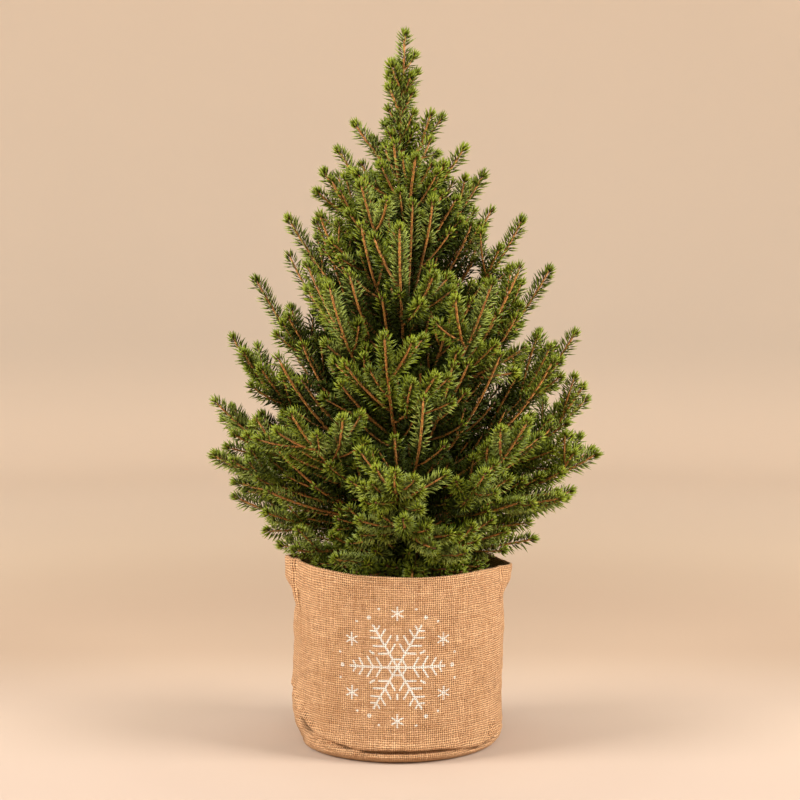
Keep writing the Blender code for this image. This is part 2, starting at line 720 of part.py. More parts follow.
def soil_surface(points):
    """The root ball's top: level round the trunk, then lumpy and sinking to the pot's wall."""
    reach = np.hypot(points[:, 0], points[:, 1])
    on_top = points[:, 2] > SOIL_TOP - 2 * SOIL_SINK
    away = np.clip(reach / SOIL_LEVEL_RADIUS - 1.0, 0.0, 1.0)
    lumps = np.sin(points[:, 0] * LUMP_WAVES[0] + 1.0) * np.cos(points[:, 1] * LUMP_WAVES[1])
    moved = points.copy()
    moved[:, 2] += np.where(on_top, away * SOIL_LUMP * lumps, 0.0)
    return moved


def soil_profile():
    bottom = pot_base() + POT_WALL + CLEARANCE
    edge = SOIL_TOP - SOIL_SINK
    gap = 1.3 * CLEARANCE
    return [
        (0.0, bottom),
        (pot_inner_radius(bottom) - gap, bottom),
        (pot_inner_radius(edge) - gap, edge),
        *[(radius, SOIL_TOP - share * SOIL_SINK) for radius, share in SOIL_FALL],
        (SOIL_LEVEL_RADIUS, SOIL_TOP),
        (0.0, SOIL_TOP),
    ]


# ---- The whole plant ---------------------------------------------------------------------
def shade_round(pieces, sharp_angle):
    """Smooth shading, but for the edges that are sharper than an angle in degrees."""
    for piece in pieces:
        piece.data.shade_smooth()
        piece.data.set_sharp_from_angle(angle=math.radians(sharp_angle))


def build_container():
    jute = plain_material("jute", (0.52, 0.31, 0.14), 0.95)
    plastic = plain_material("pot_plastic", (0.025, 0.025, 0.025), 0.5)
    peat = plain_material("peat", (0.045, 0.028, 0.018), 1.0)
    shade_round([
        solid_object("jute_sack", turned_shape(sack_profile(), SACK_SIDES, sack_ears), jute),
        solid_object("nursery_pot", turned_shape(pot_profile(), POT_SIDES), plastic),
        solid_object("soil", turned_shape(soil_profile(), POT_SIDES, soil_surface), peat),
    ], 40)


def build_wood(masses):
    bark = plain_material("bark", (0.19, 0.10, 0.05), 0.85)
    pieces = [solid_object("trunk", trunk_shape(), bark)]
    for mass in masses:
        if mass["bough"] is not None:
            limb = tapered_limb(mass["bough"], BOUGH_ROOT_RADIUS, STEM_RADIUS)
            pieces.append(solid_object(f"bough_{mass['name']}", limb, bark))
    shade_round(pieces, 50)


def mass_shapes(mass, dense, others):
    """The shapes of one mass's shoots, each needle in its own shoot's space.

    dense holds the sampled middle lines of its shoots, others those of all other masses."""
    shapes = []
    for number, shoot in enumerate(mass["shoots"]):
        own = dense[number]
        kin = np.vstack([np.zeros((0, 3))] + [line for k, line in enumerate(dense) if k != number])
        far = line_length(shoot) / 2 + NEIGHBOUR_RANGE
        near = others[np.linalg.norm(others - own[len(own) // 2], axis=1) < far]
        seated = number == 0 and mass["bough"] is None and mass["name"] != "leader"
        radius = SHOOT_RADIUS if number else min(STEM_RADIUS, trunk_radius(min(shoot[0][2], TRUNK_TIP)))

        def room(points):
            return has_room(points, own, kin, near)

        shapes.append(shoot_shape(shoot, radius, seated, number > 0, room, mass["draw"]))
    return shapes


def build_foliage(masses):
    needles = plain_material("needles", (0.10, 0.21, 0.05), 0.55)
    boughs = [mass["bough"] for mass in masses if mass["bough"] is not None]
    dense = [
        [points_along(shoot, np.arange(0.0, line_length(shoot), SAMPLE_STEP)) for shoot in mass["shoots"]]
        for mass in masses
    ]
    for index, mass in enumerate(masses):
        others = [line for k, group in enumerate(dense) if k != index for line in group]
        shapes = mass_shapes(mass, dense[index], np.vstack(others + boughs))
        join_mass(f"mass_{mass['name']}", shapes, needles)


def main():
    clear_scene()
    masses = grow_masses()
    build_container()
    build_wood(masses)
    build_foliage(masses)


if __name__ == "__main__":
    main()
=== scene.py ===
# %% [markdown]
# # A young Alberta spruce in a jute sack
# The plant is a small conical spruce in a black nursery pot, and the pot stands in a round bag
# of sewn jute. The CAD part gives every size and place: it is loaded as a frame, and each of
# its solids is then replaced by a finer surface. The shapes here are worked out with numpy as
# whole arrays, because a spruce has tens of thousands of needles and no hand could place them.

# %% Open the frame
import math
import random

import bpy
import numpy as np
from mathutils import Euler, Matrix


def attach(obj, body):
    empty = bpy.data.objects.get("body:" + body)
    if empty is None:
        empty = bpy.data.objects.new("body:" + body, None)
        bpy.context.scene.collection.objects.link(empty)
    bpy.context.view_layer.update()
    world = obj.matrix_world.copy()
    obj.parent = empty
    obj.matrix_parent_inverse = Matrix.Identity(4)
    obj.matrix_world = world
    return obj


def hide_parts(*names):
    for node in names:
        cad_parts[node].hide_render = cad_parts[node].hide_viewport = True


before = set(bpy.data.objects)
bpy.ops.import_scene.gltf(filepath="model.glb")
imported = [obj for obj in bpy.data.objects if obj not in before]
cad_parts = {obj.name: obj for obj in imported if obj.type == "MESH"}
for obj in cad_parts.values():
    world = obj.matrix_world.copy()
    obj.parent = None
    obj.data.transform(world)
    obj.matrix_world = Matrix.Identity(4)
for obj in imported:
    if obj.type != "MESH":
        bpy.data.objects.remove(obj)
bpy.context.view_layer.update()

# %% [markdown]
# ## Camera
# A long lens stands two metres in front of the plant, a little above its middle, and looks
# down by a few degrees. From so far away the crown and the sack keep their true proportions.

# %% Camera
camera_data = bpy.data.cameras.new("camera")
camera_data.sensor_width = 36.0
camera_data.lens = 91.76
camera = bpy.data.objects.new("camera", camera_data)
camera.location = (0.002, -2.0, 0.5085)
camera.rotation_euler = Euler((math.radians(90 - 4.83), 0.0, 0.0))
bpy.context.scene.collection.objects.link(camera)
bpy.context.scene.camera = camera
bpy.context.scene.view_settings.view_transform = "Standard"


# %% [markdown]
# ## From arrays to meshes
# Every piece starts as an array of points and an array of faces. Putting them into Blender
# with foreach_set copies whole arrays at once, which takes milliseconds where a loop over the
# points would take minutes. All pieces ride on the one body of the part.

# %% Meshes from arrays
def mesh_of(name, points, faces, uv=None):
    """A smooth mesh from points (n, 3), faces (m, corners) and, for a pattern that follows
    the surface, the flat coordinates of every face corner (m, corners, 2)."""
    mesh = bpy.data.meshes.new(name)
    mesh.vertices.add(len(points))
    mesh.vertices.foreach_set("co", np.asarray(points, dtype=np.float32).ravel())
    mesh.loops.add(faces.size)
    mesh.loops.foreach_set("vertex_index", faces.astype(np.int32).ravel())
    mesh.polygons.add(len(faces))
    mesh.polygons.foreach_set("loop_start", np.arange(len(faces), dtype=np.int32) * faces.shape[1])
    if uv is not None:
        layer = mesh.uv_layers.new(name="cloth")
        layer.data.foreach_set("uv", np.asarray(uv, dtype=np.float32).ravel())
    mesh.update(calc_edges=True)
    mesh.polygons.foreach_set("use_smooth", np.ones(len(faces), dtype=bool))
    return mesh


def mark(mesh, name, values):
    """Gives every point of a mesh a number, which its material can read by name."""
    layer = mesh.attributes.new(name, "FLOAT", "POINT")
    layer.data.foreach_set("value", np.asarray(values, dtype=np.float32))


def piece(name, mesh, paint, nodes):
    """An object of the plant: it rides on the part's body and stands for some CAD nodes."""
    mesh.materials.append(paint.material)
    item = bpy.data.objects.new(name, mesh)
    bpy.context.scene.collection.objects.link(item)
    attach(item, "root")
    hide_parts(*nodes)
    triangles = sum(len(polygon.vertices) - 2 for polygon in mesh.polygons)
    print(f"{name}: {triangles} triangles")


def nodes_named(start):
    """The names of the CAD nodes that begin with a word."""
    return sorted(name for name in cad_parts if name.startswith(start))


# %% [markdown]
# ## Tubes and turned shapes
# A trunk, a twig and a pot are the same kind of surface: rings of points, one after another,
# joined by faces and closed by a point at each end. Many tubes with as many rings can be made
# in one go, because their faces repeat the same numbers with a shift.

# %% Closed rings
def ring_faces(rings, sides):
    """Triangles of one closed tube, whose points are its rings in order, then the start pole
    and the end pole. Each quad between two rings is cut in two."""
    ring = np.arange(rings - 1)[:, None] * sides
    here = np.arange(sides)
    after = (here + 1) % sides
    a, b, c, d = ring + here, ring + after, ring + sides + after, ring + sides + here
    walls = [np.stack(corners, -1).reshape(-1, 3) for corners in ((a, b, c), (a, c, d))]
    pole, last = rings * sides, (rings - 1) * sides
    first_cap = np.stack([np.full(sides, pole), after, here], -1)
    last_cap = np.stack([np.full(sides, pole + 1), last + here, last + after], -1)
    return np.concatenate([*walls, first_cap, last_cap])


def closed_tubes(rings):
    """Points and triangles of tubes from rings (tubes, rings, sides, 3). The poles are the
    middles of the first and last rings, or the very point where the ring has shrunk to one."""
    tubes, count, sides, _ = rings.shape
    poles = np.stack([rings[:, 0].mean(axis=1), rings[:, -1].mean(axis=1)], axis=1)
    points = np.concatenate([rings.reshape(tubes, count * sides, 3), poles], axis=1)
    faces = ring_faces(count, sides)
    shifts = np.arange(tubes)[:, None, None] * points.shape[1]
    return points.reshape(-1, 3), (faces[None] + shifts).reshape(-1, 3)


def tube_piece(name, rings, paint, nodes):
    """A piece made of closed tubes."""
    piece(name, mesh_of(name, *closed_tubes(rings)), paint, nodes)


def unit(vectors):
    """Vectors at length 1, along the last axis of an array."""
    return vectors / np.linalg.norm(vectors, axis=-1, keepdims=True)


def circle_of(sides):
    """Cosines and sines of evenly spaced angles round a circle."""
    angles = 2 * math.pi * np.arange(sides) / sides
    return np.cos(angles), np.sin(angles)


def circles_across(ways, sides, beside):
    """Rings of vectors (..., sides, 3) of length 1, at right angles to each way. The first
    one is at right angles to a second direction too."""
    across = unit(np.cross(ways, beside))
    over = np.cross(ways, across)
    cosines, sines = circle_of(sides)
    return across[..., None, :] * cosines[:, None] + over[..., None, :] * sines[:, None]


def swell(points, pitch, seed):
    """A smooth irregular value between about -1 and 1 for each point: the sum of seven
    plane sine waves of one pitch that run in random directions."""
    rule = np.random.default_rng(seed)
    ways = unit(rule.normal(size=(7, 3))) * 2 * math.pi / pitch
    phases = rule.uniform(0, 2 * math.pi, 7)
    return np.sin(points @ ways.T + phases).sum(axis=-1) / 3.2


# %% [markdown]
# ## How the spruce grows
# The part's source grows the tree by a seeded rule, and the same rule is written again here
# with the same seed, so every bough and shoot lies where its solid lies. A bough leaves the
# trunk at one rise and turns up to another on its way to the crown's outline. Its outer part
# is a stem that carries side shoots to the left and right.

# %% Sizes of the tree
SEED = 4107
TREE_TOP = 0.704
SACK_RADIUS, SACK_HEIGHT = 0.1025, 0.1805
SOIL_TOP = 0.1605
POT_RIM_RADIUS = 0.0978
TRUNK_FOOT_RADIUS, TRUNK_TIP_RADIUS = 0.0062, 0.0018
FLARE, FLARE_HEIGHT = 0.0028, 0.007
TRUNK_TIP = 0.604
TRUNK_X = 0.0048
TRUNK_SWAY, TRUNK_SWAY_LENGTH = 0.0022, 0.62
TUFT_LENGTH = 0.0085
PATH_STEPS = 40
NEARLY_UP = (0.0, 0.12, 1.0)  # never along a shoot, so it serves to find its left and right
BOUGH_TRIES, SIDE_TRIES = 80, 16
BOUGH_ROOM, SIDE_ROOM = 0.0062, 0.0145  # least gaps to the same mass's wood and to others'
SIDE_FOOT = 0.011  # from here on a side shoot needs room
SIDE_LENGTHS = (0.034, 0.085)

# Height and furthest reach of the needles, from the foot of the crown to its tip.
CROWN_OUTLINE = (
    (0.165, 0.100), (0.195, 0.124), (0.225, 0.158), (0.255, 0.182), (0.300, 0.198), (0.340, 0.192),
    (0.410, 0.172), (0.470, 0.149), (0.535, 0.111), (0.572, 0.079), (0.622, 0.045), (0.642, 0.024),
    (0.680, 0.019), (TREE_TOP, 0.002),
)

# Tier: name, height of the tips, rise at the trunk and at the tip, bare share of the bough,
# side shoots on each stem, and directions of the boughs in degrees.
TIERS = (
    ("skirt", 0.203, -6, 12, 0.00, 2, (188, 352, 243, 295, 62)),
    ("base", 0.250, 2, 24, 0.00, 3, (176, 8, 262, 116)),
    ("low", 0.290, 8, 32, 0.32, 3, (186, 354, 270, 42, 138)),
    ("wide", 0.339, 16, 48, 0.30, 3, (177, 5, 234, 306, 90)),
    ("broad", 0.411, 28, 60, 0.28, 4, (184, 357, 268, 118)),
    ("middle", 0.468, 36, 62, 0.00, 3, (179, 2, 240, 304, 80)),
    ("high", 0.523, 42, 64, 0.00, 3, (185, 356, 274, 100)),
    ("upper", 0.563, 44, 62, 0.00, 2, (177, 3, 240, 64)),
    ("crown", 0.588, 44, 58, 0.00, 1, (186, 354, 285)),
    ("top", 0.621, 44, 56, 0.00, 1, (178, 6)),
)


# %% Trunk line and crown outline
def crown_reach(height):
    """Furthest reach of the needles at a height."""
    heights, reaches = np.array(CROWN_OUTLINE).T
    return np.interp(height, heights, reaches)


def trunk_centres(heights):
    """Middle of the trunk at heights: a slow sine to the side and a slower one in depth."""
    turn = 2 * math.pi * (np.asarray(heights) - SOIL_TOP) / TRUNK_SWAY_LENGTH
    aside, back = TRUNK_SWAY * np.sin(turn), TRUNK_SWAY * np.sin(0.6 * turn)
    return np.stack([TRUNK_X + aside, back, np.asarray(heights) + 0.0 * turn], axis=-1)


def trunk_radii(heights):
    """An even taper plus a flare that fades by its own height above the soil."""
    share = (heights - SOIL_TOP) / (TRUNK_TIP - SOIL_TOP)
    flare = FLARE * np.exp(-(heights - SOIL_TOP) / FLARE_HEIGHT)
    return TRUNK_FOOT_RADIUS + (TRUNK_TIP_RADIUS - TRUNK_FOOT_RADIUS) * share + flare


def walked(line):
    """How far along a line each of its points is."""
    return np.concatenate([[0.0], np.cumsum(np.linalg.norm(np.diff(line, axis=0), axis=1))])


def line_length(line):
    """The whole length of a line."""
    return walked(line)[-1]


def points_along(line, distances):
    """Points of a line at given distances along it."""
    return np.stack([np.interp(distances, walked(line), line[:, axis]) for axis in range(3)], axis=1)


def stepped(start, ways, length):
    """A line from a start whose steps, all as long, follow an array of directions."""
    return start + np.vstack([np.zeros(3), np.cumsum(ways, axis=0)]) * length / len(ways)


# %% [markdown]
# The rule draws its numbers from Python's own random generator, one for each bough, in a
# fixed order. A bough that would pass too near another one is drawn again, and a side shoot
# tries several places until it has room. That is why the loops here run over boughs and
# shoots, which are few, and never over points.

# %% Boughs
def heading(azimuth, rise):
    """Directions from angles in radians, the rise counted from the level."""
    parts = [np.cos(rise) * np.cos(azimuth), np.cos(rise) * np.sin(azimuth), np.sin(rise)]
    return np.stack(np.broadcast_arrays(*parts), axis=-1)


def bough_line(tip_height, rise_start, rise_end, azimuth, sway, share=1.0):
    """Middle line of a bough and its stem, out to a share of the crown's reach. The rise grows
    with the 1.15th power of the length, and the direction swings out and back by a half sine."""
    along = (np.arange(PATH_STEPS) + 0.5) / PATH_STEPS
    rise = np.radians(rise_start + (rise_end - rise_start) * along**1.15)
    ways = heading(math.radians(azimuth) + sway * np.sin(math.pi * along), rise)
    outward = heading(math.radians(azimuth), 0.0)
    reach = crown_reach(tip_height) * share - TUFT_LENGTH * math.cos(rise[-1])
    line = stepped(np.zeros(3), ways, reach / (ways @ outward).mean())
    return line + trunk_centres(tip_height - TUFT_LENGTH * math.sin(rise[-1]) - line[-1, 2])


def gap_between(line, others):
    """Least distance between the points of two arrays."""
    if len(others) == 0:
        return math.inf
    return np.linalg.norm(line[:, None, :] - others[None, :, :], axis=2).min()


def grow_boughs():
    """All boughs, tier by tier, each with the line of its bare part and that of its stem."""
    masses = []
    taken = np.zeros((0, 3))
    for tier, (name, height, rise_start, rise_end, bare, sides, azimuths) in enumerate(TIERS):
        for number, azimuth in enumerate(azimuths):
            draw = random.Random(SEED + 100 * tier + number)
            for _ in range(BOUGH_TRIES):
                line = bough_line(
                    height + draw.uniform(-0.007, 0.007),
                    rise_start + draw.uniform(-5, 5),
                    rise_end + draw.uniform(-3, 3),
                    azimuth + draw.uniform(-5, 5),
                    draw.uniform(-0.10, 0.10),
                )
                if gap_between(line[1:], taken) > BOUGH_ROOM:
                    break
            taken = np.vstack([taken, line[1:]])
            split = round(bare * PATH_STEPS)
            masses.append({
                "name": f"{name}_{number + 1}", "bough": line[: split + 1] if split else None,
                "stem": line[split:], "sides": sides, "draw": draw,
            })
    foot = trunk_centres(TRUNK_TIP)
    tip = np.array([TRUNK_X + 0.0020, -0.0010, TREE_TOP - TUFT_LENGTH])
    leader = foot + (tip - foot) * np.linspace(0.0, 1.0, PATH_STEPS + 1)[:, None]
    draw = random.Random(SEED + 100 * len(TIERS))
    return masses + [{"name": "leader", "bough": None, "stem": leader, "sides": 4, "draw": draw}]


# %% The line of a side shoot
def side_line(start, way, parent_way, length):
    """A shoot that leaves its parent, then bends back along it and up to the light, more and
    more along its length."""
    bend = (np.arange(PATH_STEPS)[:, None] + 0.5) / PATH_STEPS
    up = np.array([0.0, 0.0, 1.0])
    return stepped(start, unit(way + bend * (0.55 * parent_way + 0.30 * up)), length)


def leaving(way, roll, spread):
    """Direction of a shoot that leaves its parent at a spread, rolled round the parent."""
    across = unit(np.cross(way, NEARLY_UP))
    over = np.cross(across, way)
    out = math.cos(roll) * across + math.sin(roll) * over
    return math.cos(spread) * way + math.sin(spread) * out


# %% [markdown]
# A shoot has to stay inside the crown, above the soil and clear of the sack's edge. The three
# tests below are asked of every new shoot and twig.

# %% Bounds of the foliage
def inside_crown(line):
    """Whether a shoot and its end tuft stay within the crown's outline."""
    tip = line[-1] + unit(line[-1] - line[-4]) * TUFT_LENGTH
    return tip[2] < TREE_TOP and math.hypot(tip[0] - TRUNK_X, tip[1]) < crown_reach(tip[2])


def lowest_allowed(points):
    """Least height of foliage over the soil, over the sack's rim and beyond it."""
    reach = np.hypot(points[..., 0], points[..., 1])
    over_rim = np.where(reach < 0.1140, SACK_HEIGHT + 0.0072, SACK_HEIGHT + 0.0040)
    return np.where(reach < POT_RIM_RADIUS - 0.005, SOIL_TOP + 0.0045, over_rim)


def stays_above(line, first, room):
    """Whether a line, from one of its points on, keeps a distance from soil and rim."""
    return (line[first:, 2] > lowest_allowed(line[first:]) + room).all()


# %% Grow the side shoots
def side_choice(mass, number, attempt, shorter):
    """One way a side shoot could grow: its middle line, and where on the stem it starts."""
    stem, draw = mass["stem"], mass["draw"]
    share = 0.10 + 0.64 * (number + draw.uniform(0.1, 0.9)) / mass["sides"]
    node = round(share * (len(stem) - 1))
    way = unit(stem[node + 1] - stem[node - 1])
    roll = math.pi * ((number + attempt // 8) % 2) + draw.uniform(-0.85, 0.85)
    spread = math.radians(draw.uniform(34, 50))
    ratio = 0.26 + 0.42 * (1 - share)
    length = ratio * line_length(stem) * draw.uniform(0.85, 1.15)
    length = float(np.clip(length, *SIDE_LENGTHS)) * shorter
    return side_line(stem[node], leaving(way, roll, spread), way, length), node


def grow_side(mass, number, others):
    """A side shoot with room round it, or None after enough tries."""
    stem = mass["stem"]
    for attempt in range(SIDE_TRIES):
        for shorter in (1.0, 0.8, 0.6, 0.45):
            line, node = side_choice(mass, number, attempt, shorter)
            beyond = points_along(line, np.linspace(SIDE_FOOT, line_length(line), PATH_STEPS // 3))
            own = [stem[: max(node - 1, 1)], stem[node + 2 :]]
            own += [side[4:] for side in mass["shoots"][1:]]
            if (
                inside_crown(line)
                and stays_above(line, 4, 0.006)
                and gap_between(beyond, others) > SIDE_ROOM
                and gap_between(beyond, np.vstack(own)) > BOUGH_ROOM
            ):
                return line
    return None


def grow_shoots(masses):
    """Adds to every mass the list of its shoots, the stem first."""
    lines = [[part for part in (mass["bough"], mass["stem"]) if part is not None] for mass in masses]
    for index, mass in enumerate(masses):
        mass["shoots"] = [mass["stem"]]
        for number in range(mass["sides"]):
            others = np.vstack(sum(lines[:index] + lines[index + 1 :], []))
            side = grow_side(mass, number, others)
            if side is not None:
                mass["shoots"].append(side)
                lines[index].append(side)


masses = grow_boughs()
grow_shoots(masses)
shoot_count = sum(len(mass["shoots"]) for mass in masses)
print(f"The rule grew {len(masses)} masses with {shoot_count} shoots")


# %% [markdown]
# ## Finer twigs
# The solids only hold some 150 shoots. On the real plant each of them carries short twigs of
# its own near its root, while its outer end is this year's growth, a plain brush of needles.
# The twigs come from the rule above: same way of leaving the parent, same bend to the light,
# same outline.

# %% Room for a twig
TWIG_ROOM = 0.0088  # least gap to other wood
MARGIN_HEIGHTS, MARGINS = (0.34, 0.46), (0.010, 0.028)


class Thicket:
    """Points of all the wood so far, from which a new shoot keeps its distance."""

    def __init__(self, lines):
        self.points = np.vstack([line[::2] for line in lines])

    def add(self, line, first, step):
        self.points = np.vstack([self.points, line[first::step]])

    def clear(self, line, start, count, room):
        """Whether a line has room from a share of its length on, tested at some points."""
        outer = points_along(line, np.linspace(start, 1.0, count) * line_length(line))
        return gap_between(outer, self.points) > room


def keep_twig(twig, twigs):
    """Adds a twig to a list, and says so, if it stays above soil and rim, clear of other wood
    and a margin inside the crown's outline, where only the ends of the main shoots stand
    out. The margin grows up the crown."""
    x, y, height = twig[-1]
    margin = np.interp(height, MARGIN_HEIGHTS, MARGINS)
    fits = (
        math.hypot(x - TRUNK_X, y) < crown_reach(height) - margin
        and stays_above(twig, 4, 0.004)
        and thicket.clear(twig, 0.45, 5, TWIG_ROOM)
    )
    if fits:
        twigs.append(twig)
        thicket.add(twig, 8, 8)
    return fits


# %% Twigs along a shoot
TWIG_STEP, TWIG_FOOT, TWIG_TRIES = 0.0110, 0.012, 4
TWIG_LENGTHS, LEADER_TWIG_LENGTHS = (0.034, 0.062), (0.014, 0.026)


def grow_twigs(parents, share, seed, lengths=TWIG_LENGTHS):
    """Short twigs along the inner share of each parent, by turns to its left and right, and
    shorter the further out they stand."""
    twigs = []
    for index, parent in enumerate(parents):
        draw = random.Random(seed + index)
        whole = line_length(parent)
        for number, place in enumerate(np.arange(TWIG_FOOT, share * whole, TWIG_STEP)):
            node = min(max(int(np.searchsorted(walked(parent), place)), 1), len(parent) - 2)
            way = unit(parent[node + 1] - parent[node - 1])
            for attempt in range(TWIG_TRIES):
                roll = math.pi * ((number + attempt) % 2) + draw.uniform(-0.9, 0.9)
                spread = math.radians(draw.uniform(24, 40))
                length = (1.15 - 0.80 * place / whole) * draw.uniform(*lengths)
                if keep_twig(side_line(parent[node], leaving(way, roll, spread), way, length), twigs):
                    break
    return twigs


# %% Twigs that face outward
FACING_FOOT, FACING_STEP, FACING_SHARE = 0.010, 0.020, 0.66
SHORT_LENGTHS = (0.018, 0.034)


def grow_facing(parents, seed):
    """Short twigs on the outer face of shoots that point straight out of the crown, so that
    from outside one looks down on their tips."""
    twigs = []
    for index, parent in enumerate(parents):
        draw = random.Random(seed + index)
        for place in np.arange(FACING_FOOT, FACING_SHARE * line_length(parent), FACING_STEP):
            foot = points_along(parent, [place])[0]
            azimuth = math.atan2(foot[1], foot[0] - TRUNK_X) + draw.uniform(-0.4, 0.4)
            rise = np.radians(draw.uniform(0, 24) + np.linspace(0, 12, PATH_STEPS))
            keep_twig(stepped(foot, heading(azimuth, rise), draw.uniform(*SHORT_LENGTHS)), twigs)
    return twigs


# %% [markdown]
# Three more kinds of shoots fill the crown: short boughs between the tiers, small shoots low
# over the soil, and steep ones round the top of the trunk. Each kind turns by the golden
# angle, the way leaves follow one another on a stem, so that no side stays bare.

# %% Shoots between the tiers
GOLDEN = 2.39996  # radians
INNER_COUNT, INNER_TRIES, INNER_ROOM = 118, 12, 0.0085
INNER_LOWEST, INNER_SPAN = 0.212, 0.375


def grow_inner():
    """Short boughs between the tiers, turned by the golden angle one after another. Their rise
    is the neighbouring tiers', and they reach half to nine tenths of the way out."""
    heights, starts, ends = np.array([tier[1:4] for tier in TIERS]).T
    inner = []
    draw = random.Random(SEED + 5000)
    for number in range(INNER_COUNT):
        height = INNER_LOWEST + INNER_SPAN * (number + draw.random()) / INNER_COUNT
        for _ in range(INNER_TRIES):
            bough = bough_line(
                height + draw.uniform(-0.012, 0.012),
                np.interp(height, heights, starts) + draw.uniform(-4, 8),
                np.interp(height, heights, ends) + draw.uniform(-4, 8),
                math.degrees(number * GOLDEN) + draw.uniform(-25, 25),
                draw.uniform(-0.15, 0.15),
                draw.uniform(0.50, 0.92),
            )
            if stays_above(bough, 6, 0.004) and thicket.clear(bough, 0.4, 8, INNER_ROOM):
                inner.append(bough)
                thicket.add(bough, 6, 3)
                break
    return inner


# %% Shoots over the soil
FOOT_COUNT = 56
EVEN_STEPS = np.linspace(0.0, 1.0, PATH_STEPS + 1)


def grow_foot():
    """Small shoots low on the trunk that spread over the soil, out to the inside of the rim.
    Each is straight at first and rises a little at its end."""
    low = []
    draw = random.Random(SEED + 5500)
    lift = EVEN_STEPS**2
    for number in range(FOOT_COUNT):
        foot = trunk_centres(draw.uniform(0.168, 0.180))
        azimuth = number * GOLDEN + draw.uniform(-0.25, 0.25)
        reach = draw.uniform(0.058, 0.086)
        tip = [reach * math.cos(azimuth), reach * math.sin(azimuth), draw.uniform(0.172, 0.186)]
        shoot = foot + (np.array(tip) - foot) * EVEN_STEPS[:, None]
        shoot[:, 2] += draw.uniform(0.001, 0.006) * (lift - np.sqrt(lift))
        if stays_above(shoot, 6, 0.001):
            low.append(shoot)
            thicket.add(shoot, 6, 3)
    return low


# %% Spire
SPIRE_COUNT, SPIRE_ROOM = 64, 0.0046
SPIRE_LOWEST, SPIRE_SPAN = 0.470, 0.200


def grow_spire():
    """Steep twigs up the top of the trunk and the leader, turned by the golden angle, that
    lie close to it and thicken it to a spire. None of them hides it from the front."""
    twigs = []
    draw = random.Random(SEED + 5800)
    axis = np.vstack([trunk_centres(np.linspace(0.46, TRUNK_TIP, 30)), masses[-1]["stem"][1:]])
    for number in range(SPIRE_COUNT):
        height = SPIRE_LOWEST + SPIRE_SPAN * (number + draw.random()) / SPIRE_COUNT
        foot = np.array([np.interp(height, axis[:, 2], axis[:, side]) for side in range(3)])
        azimuth = number * GOLDEN + draw.uniform(-0.4, 0.4)
        way = heading(azimuth, math.radians(draw.uniform(52, 64)))
        twig = side_line(foot, way, way, draw.uniform(*SHORT_LENGTHS))
        aside = math.sin(azimuth) > -0.75
        if aside and inside_crown(twig) and thicket.clear(twig, 0.5, 5, SPIRE_ROOM):
            twigs.append(twig)
            thicket.add(twig, 8, 8)
    return twigs


# %% Grow the finer twigs
stems = [mass["stem"] for mass in masses]
sides = [side for mass in masses for side in mass["shoots"][1:]]
boughs = [mass["bough"] for mass in masses if mass["bough"] is not None]
thicket = Thicket(stems + sides + boughs)
# Each call of grow_twigs says what share of a parent's length carries twigs.
inner = grow_inner() + grow_foot()
spire_twigs = grow_spire()
facing_twigs = grow_facing(stems[:-1], SEED + 5900)
stem_twigs = grow_twigs(stems[:-1] + boughs, 0.68, SEED + 6000)
side_twigs = grow_twigs(sides, 0.48, SEED + 7000)
inner_twigs = grow_twigs(inner, 0.60, SEED + 8000)
leader_twigs = grow_twigs(stems[-1:], 0.80, SEED + 8500, LEADER_TWIG_LENGTHS)
outer_twigs = facing_twigs + stem_twigs + side_twigs + leader_twigs + spire_twigs
twigs = outer_twigs + inner_twigs
total = sum(line_length(line) for line in stems + sides + inner + twigs)
print(f"{len(stems)} stems, {len(sides)} side shoots, {len(inner)} inner shoots, {len(twigs)} twigs")
print(f"They measure {total:.1f} m together")


# %% [markdown]
# ## Needles
# A spruce needle is a slim four-sided spike on a small peg. Here each one is a closed spindle
# of five points: a foot inside the twig, a ring of three points, and a tip. They stand
# round the twig by the golden angle, as leaves do on most plants, and lean forward. Towards
# the twig's end they lean more and close round the bud. On the outer face of a shoot half of
# them are left out, so that its orange wood shows. The real plant has more and thinner ones.

# %% Needle rule
NEEDLE_STEP = 0.00039  # of shoot for each needle
INNER_STEP = 0.00070  # the same on the shoots that fill the crown
PARTED, PARTED_SHARE = 0.72, 0.50  # cosine of the outer face's half angle, needles left on it
TIP_DEPTH = 0.004  # the end of a shoot, where needles stand twice as close
NEEDLE_LENGTH = 0.0122
END_LEAN, MORE_LEAN, LEAN_DEPTH = 16, 48, 0.007  # degrees at the twig's end, and more before


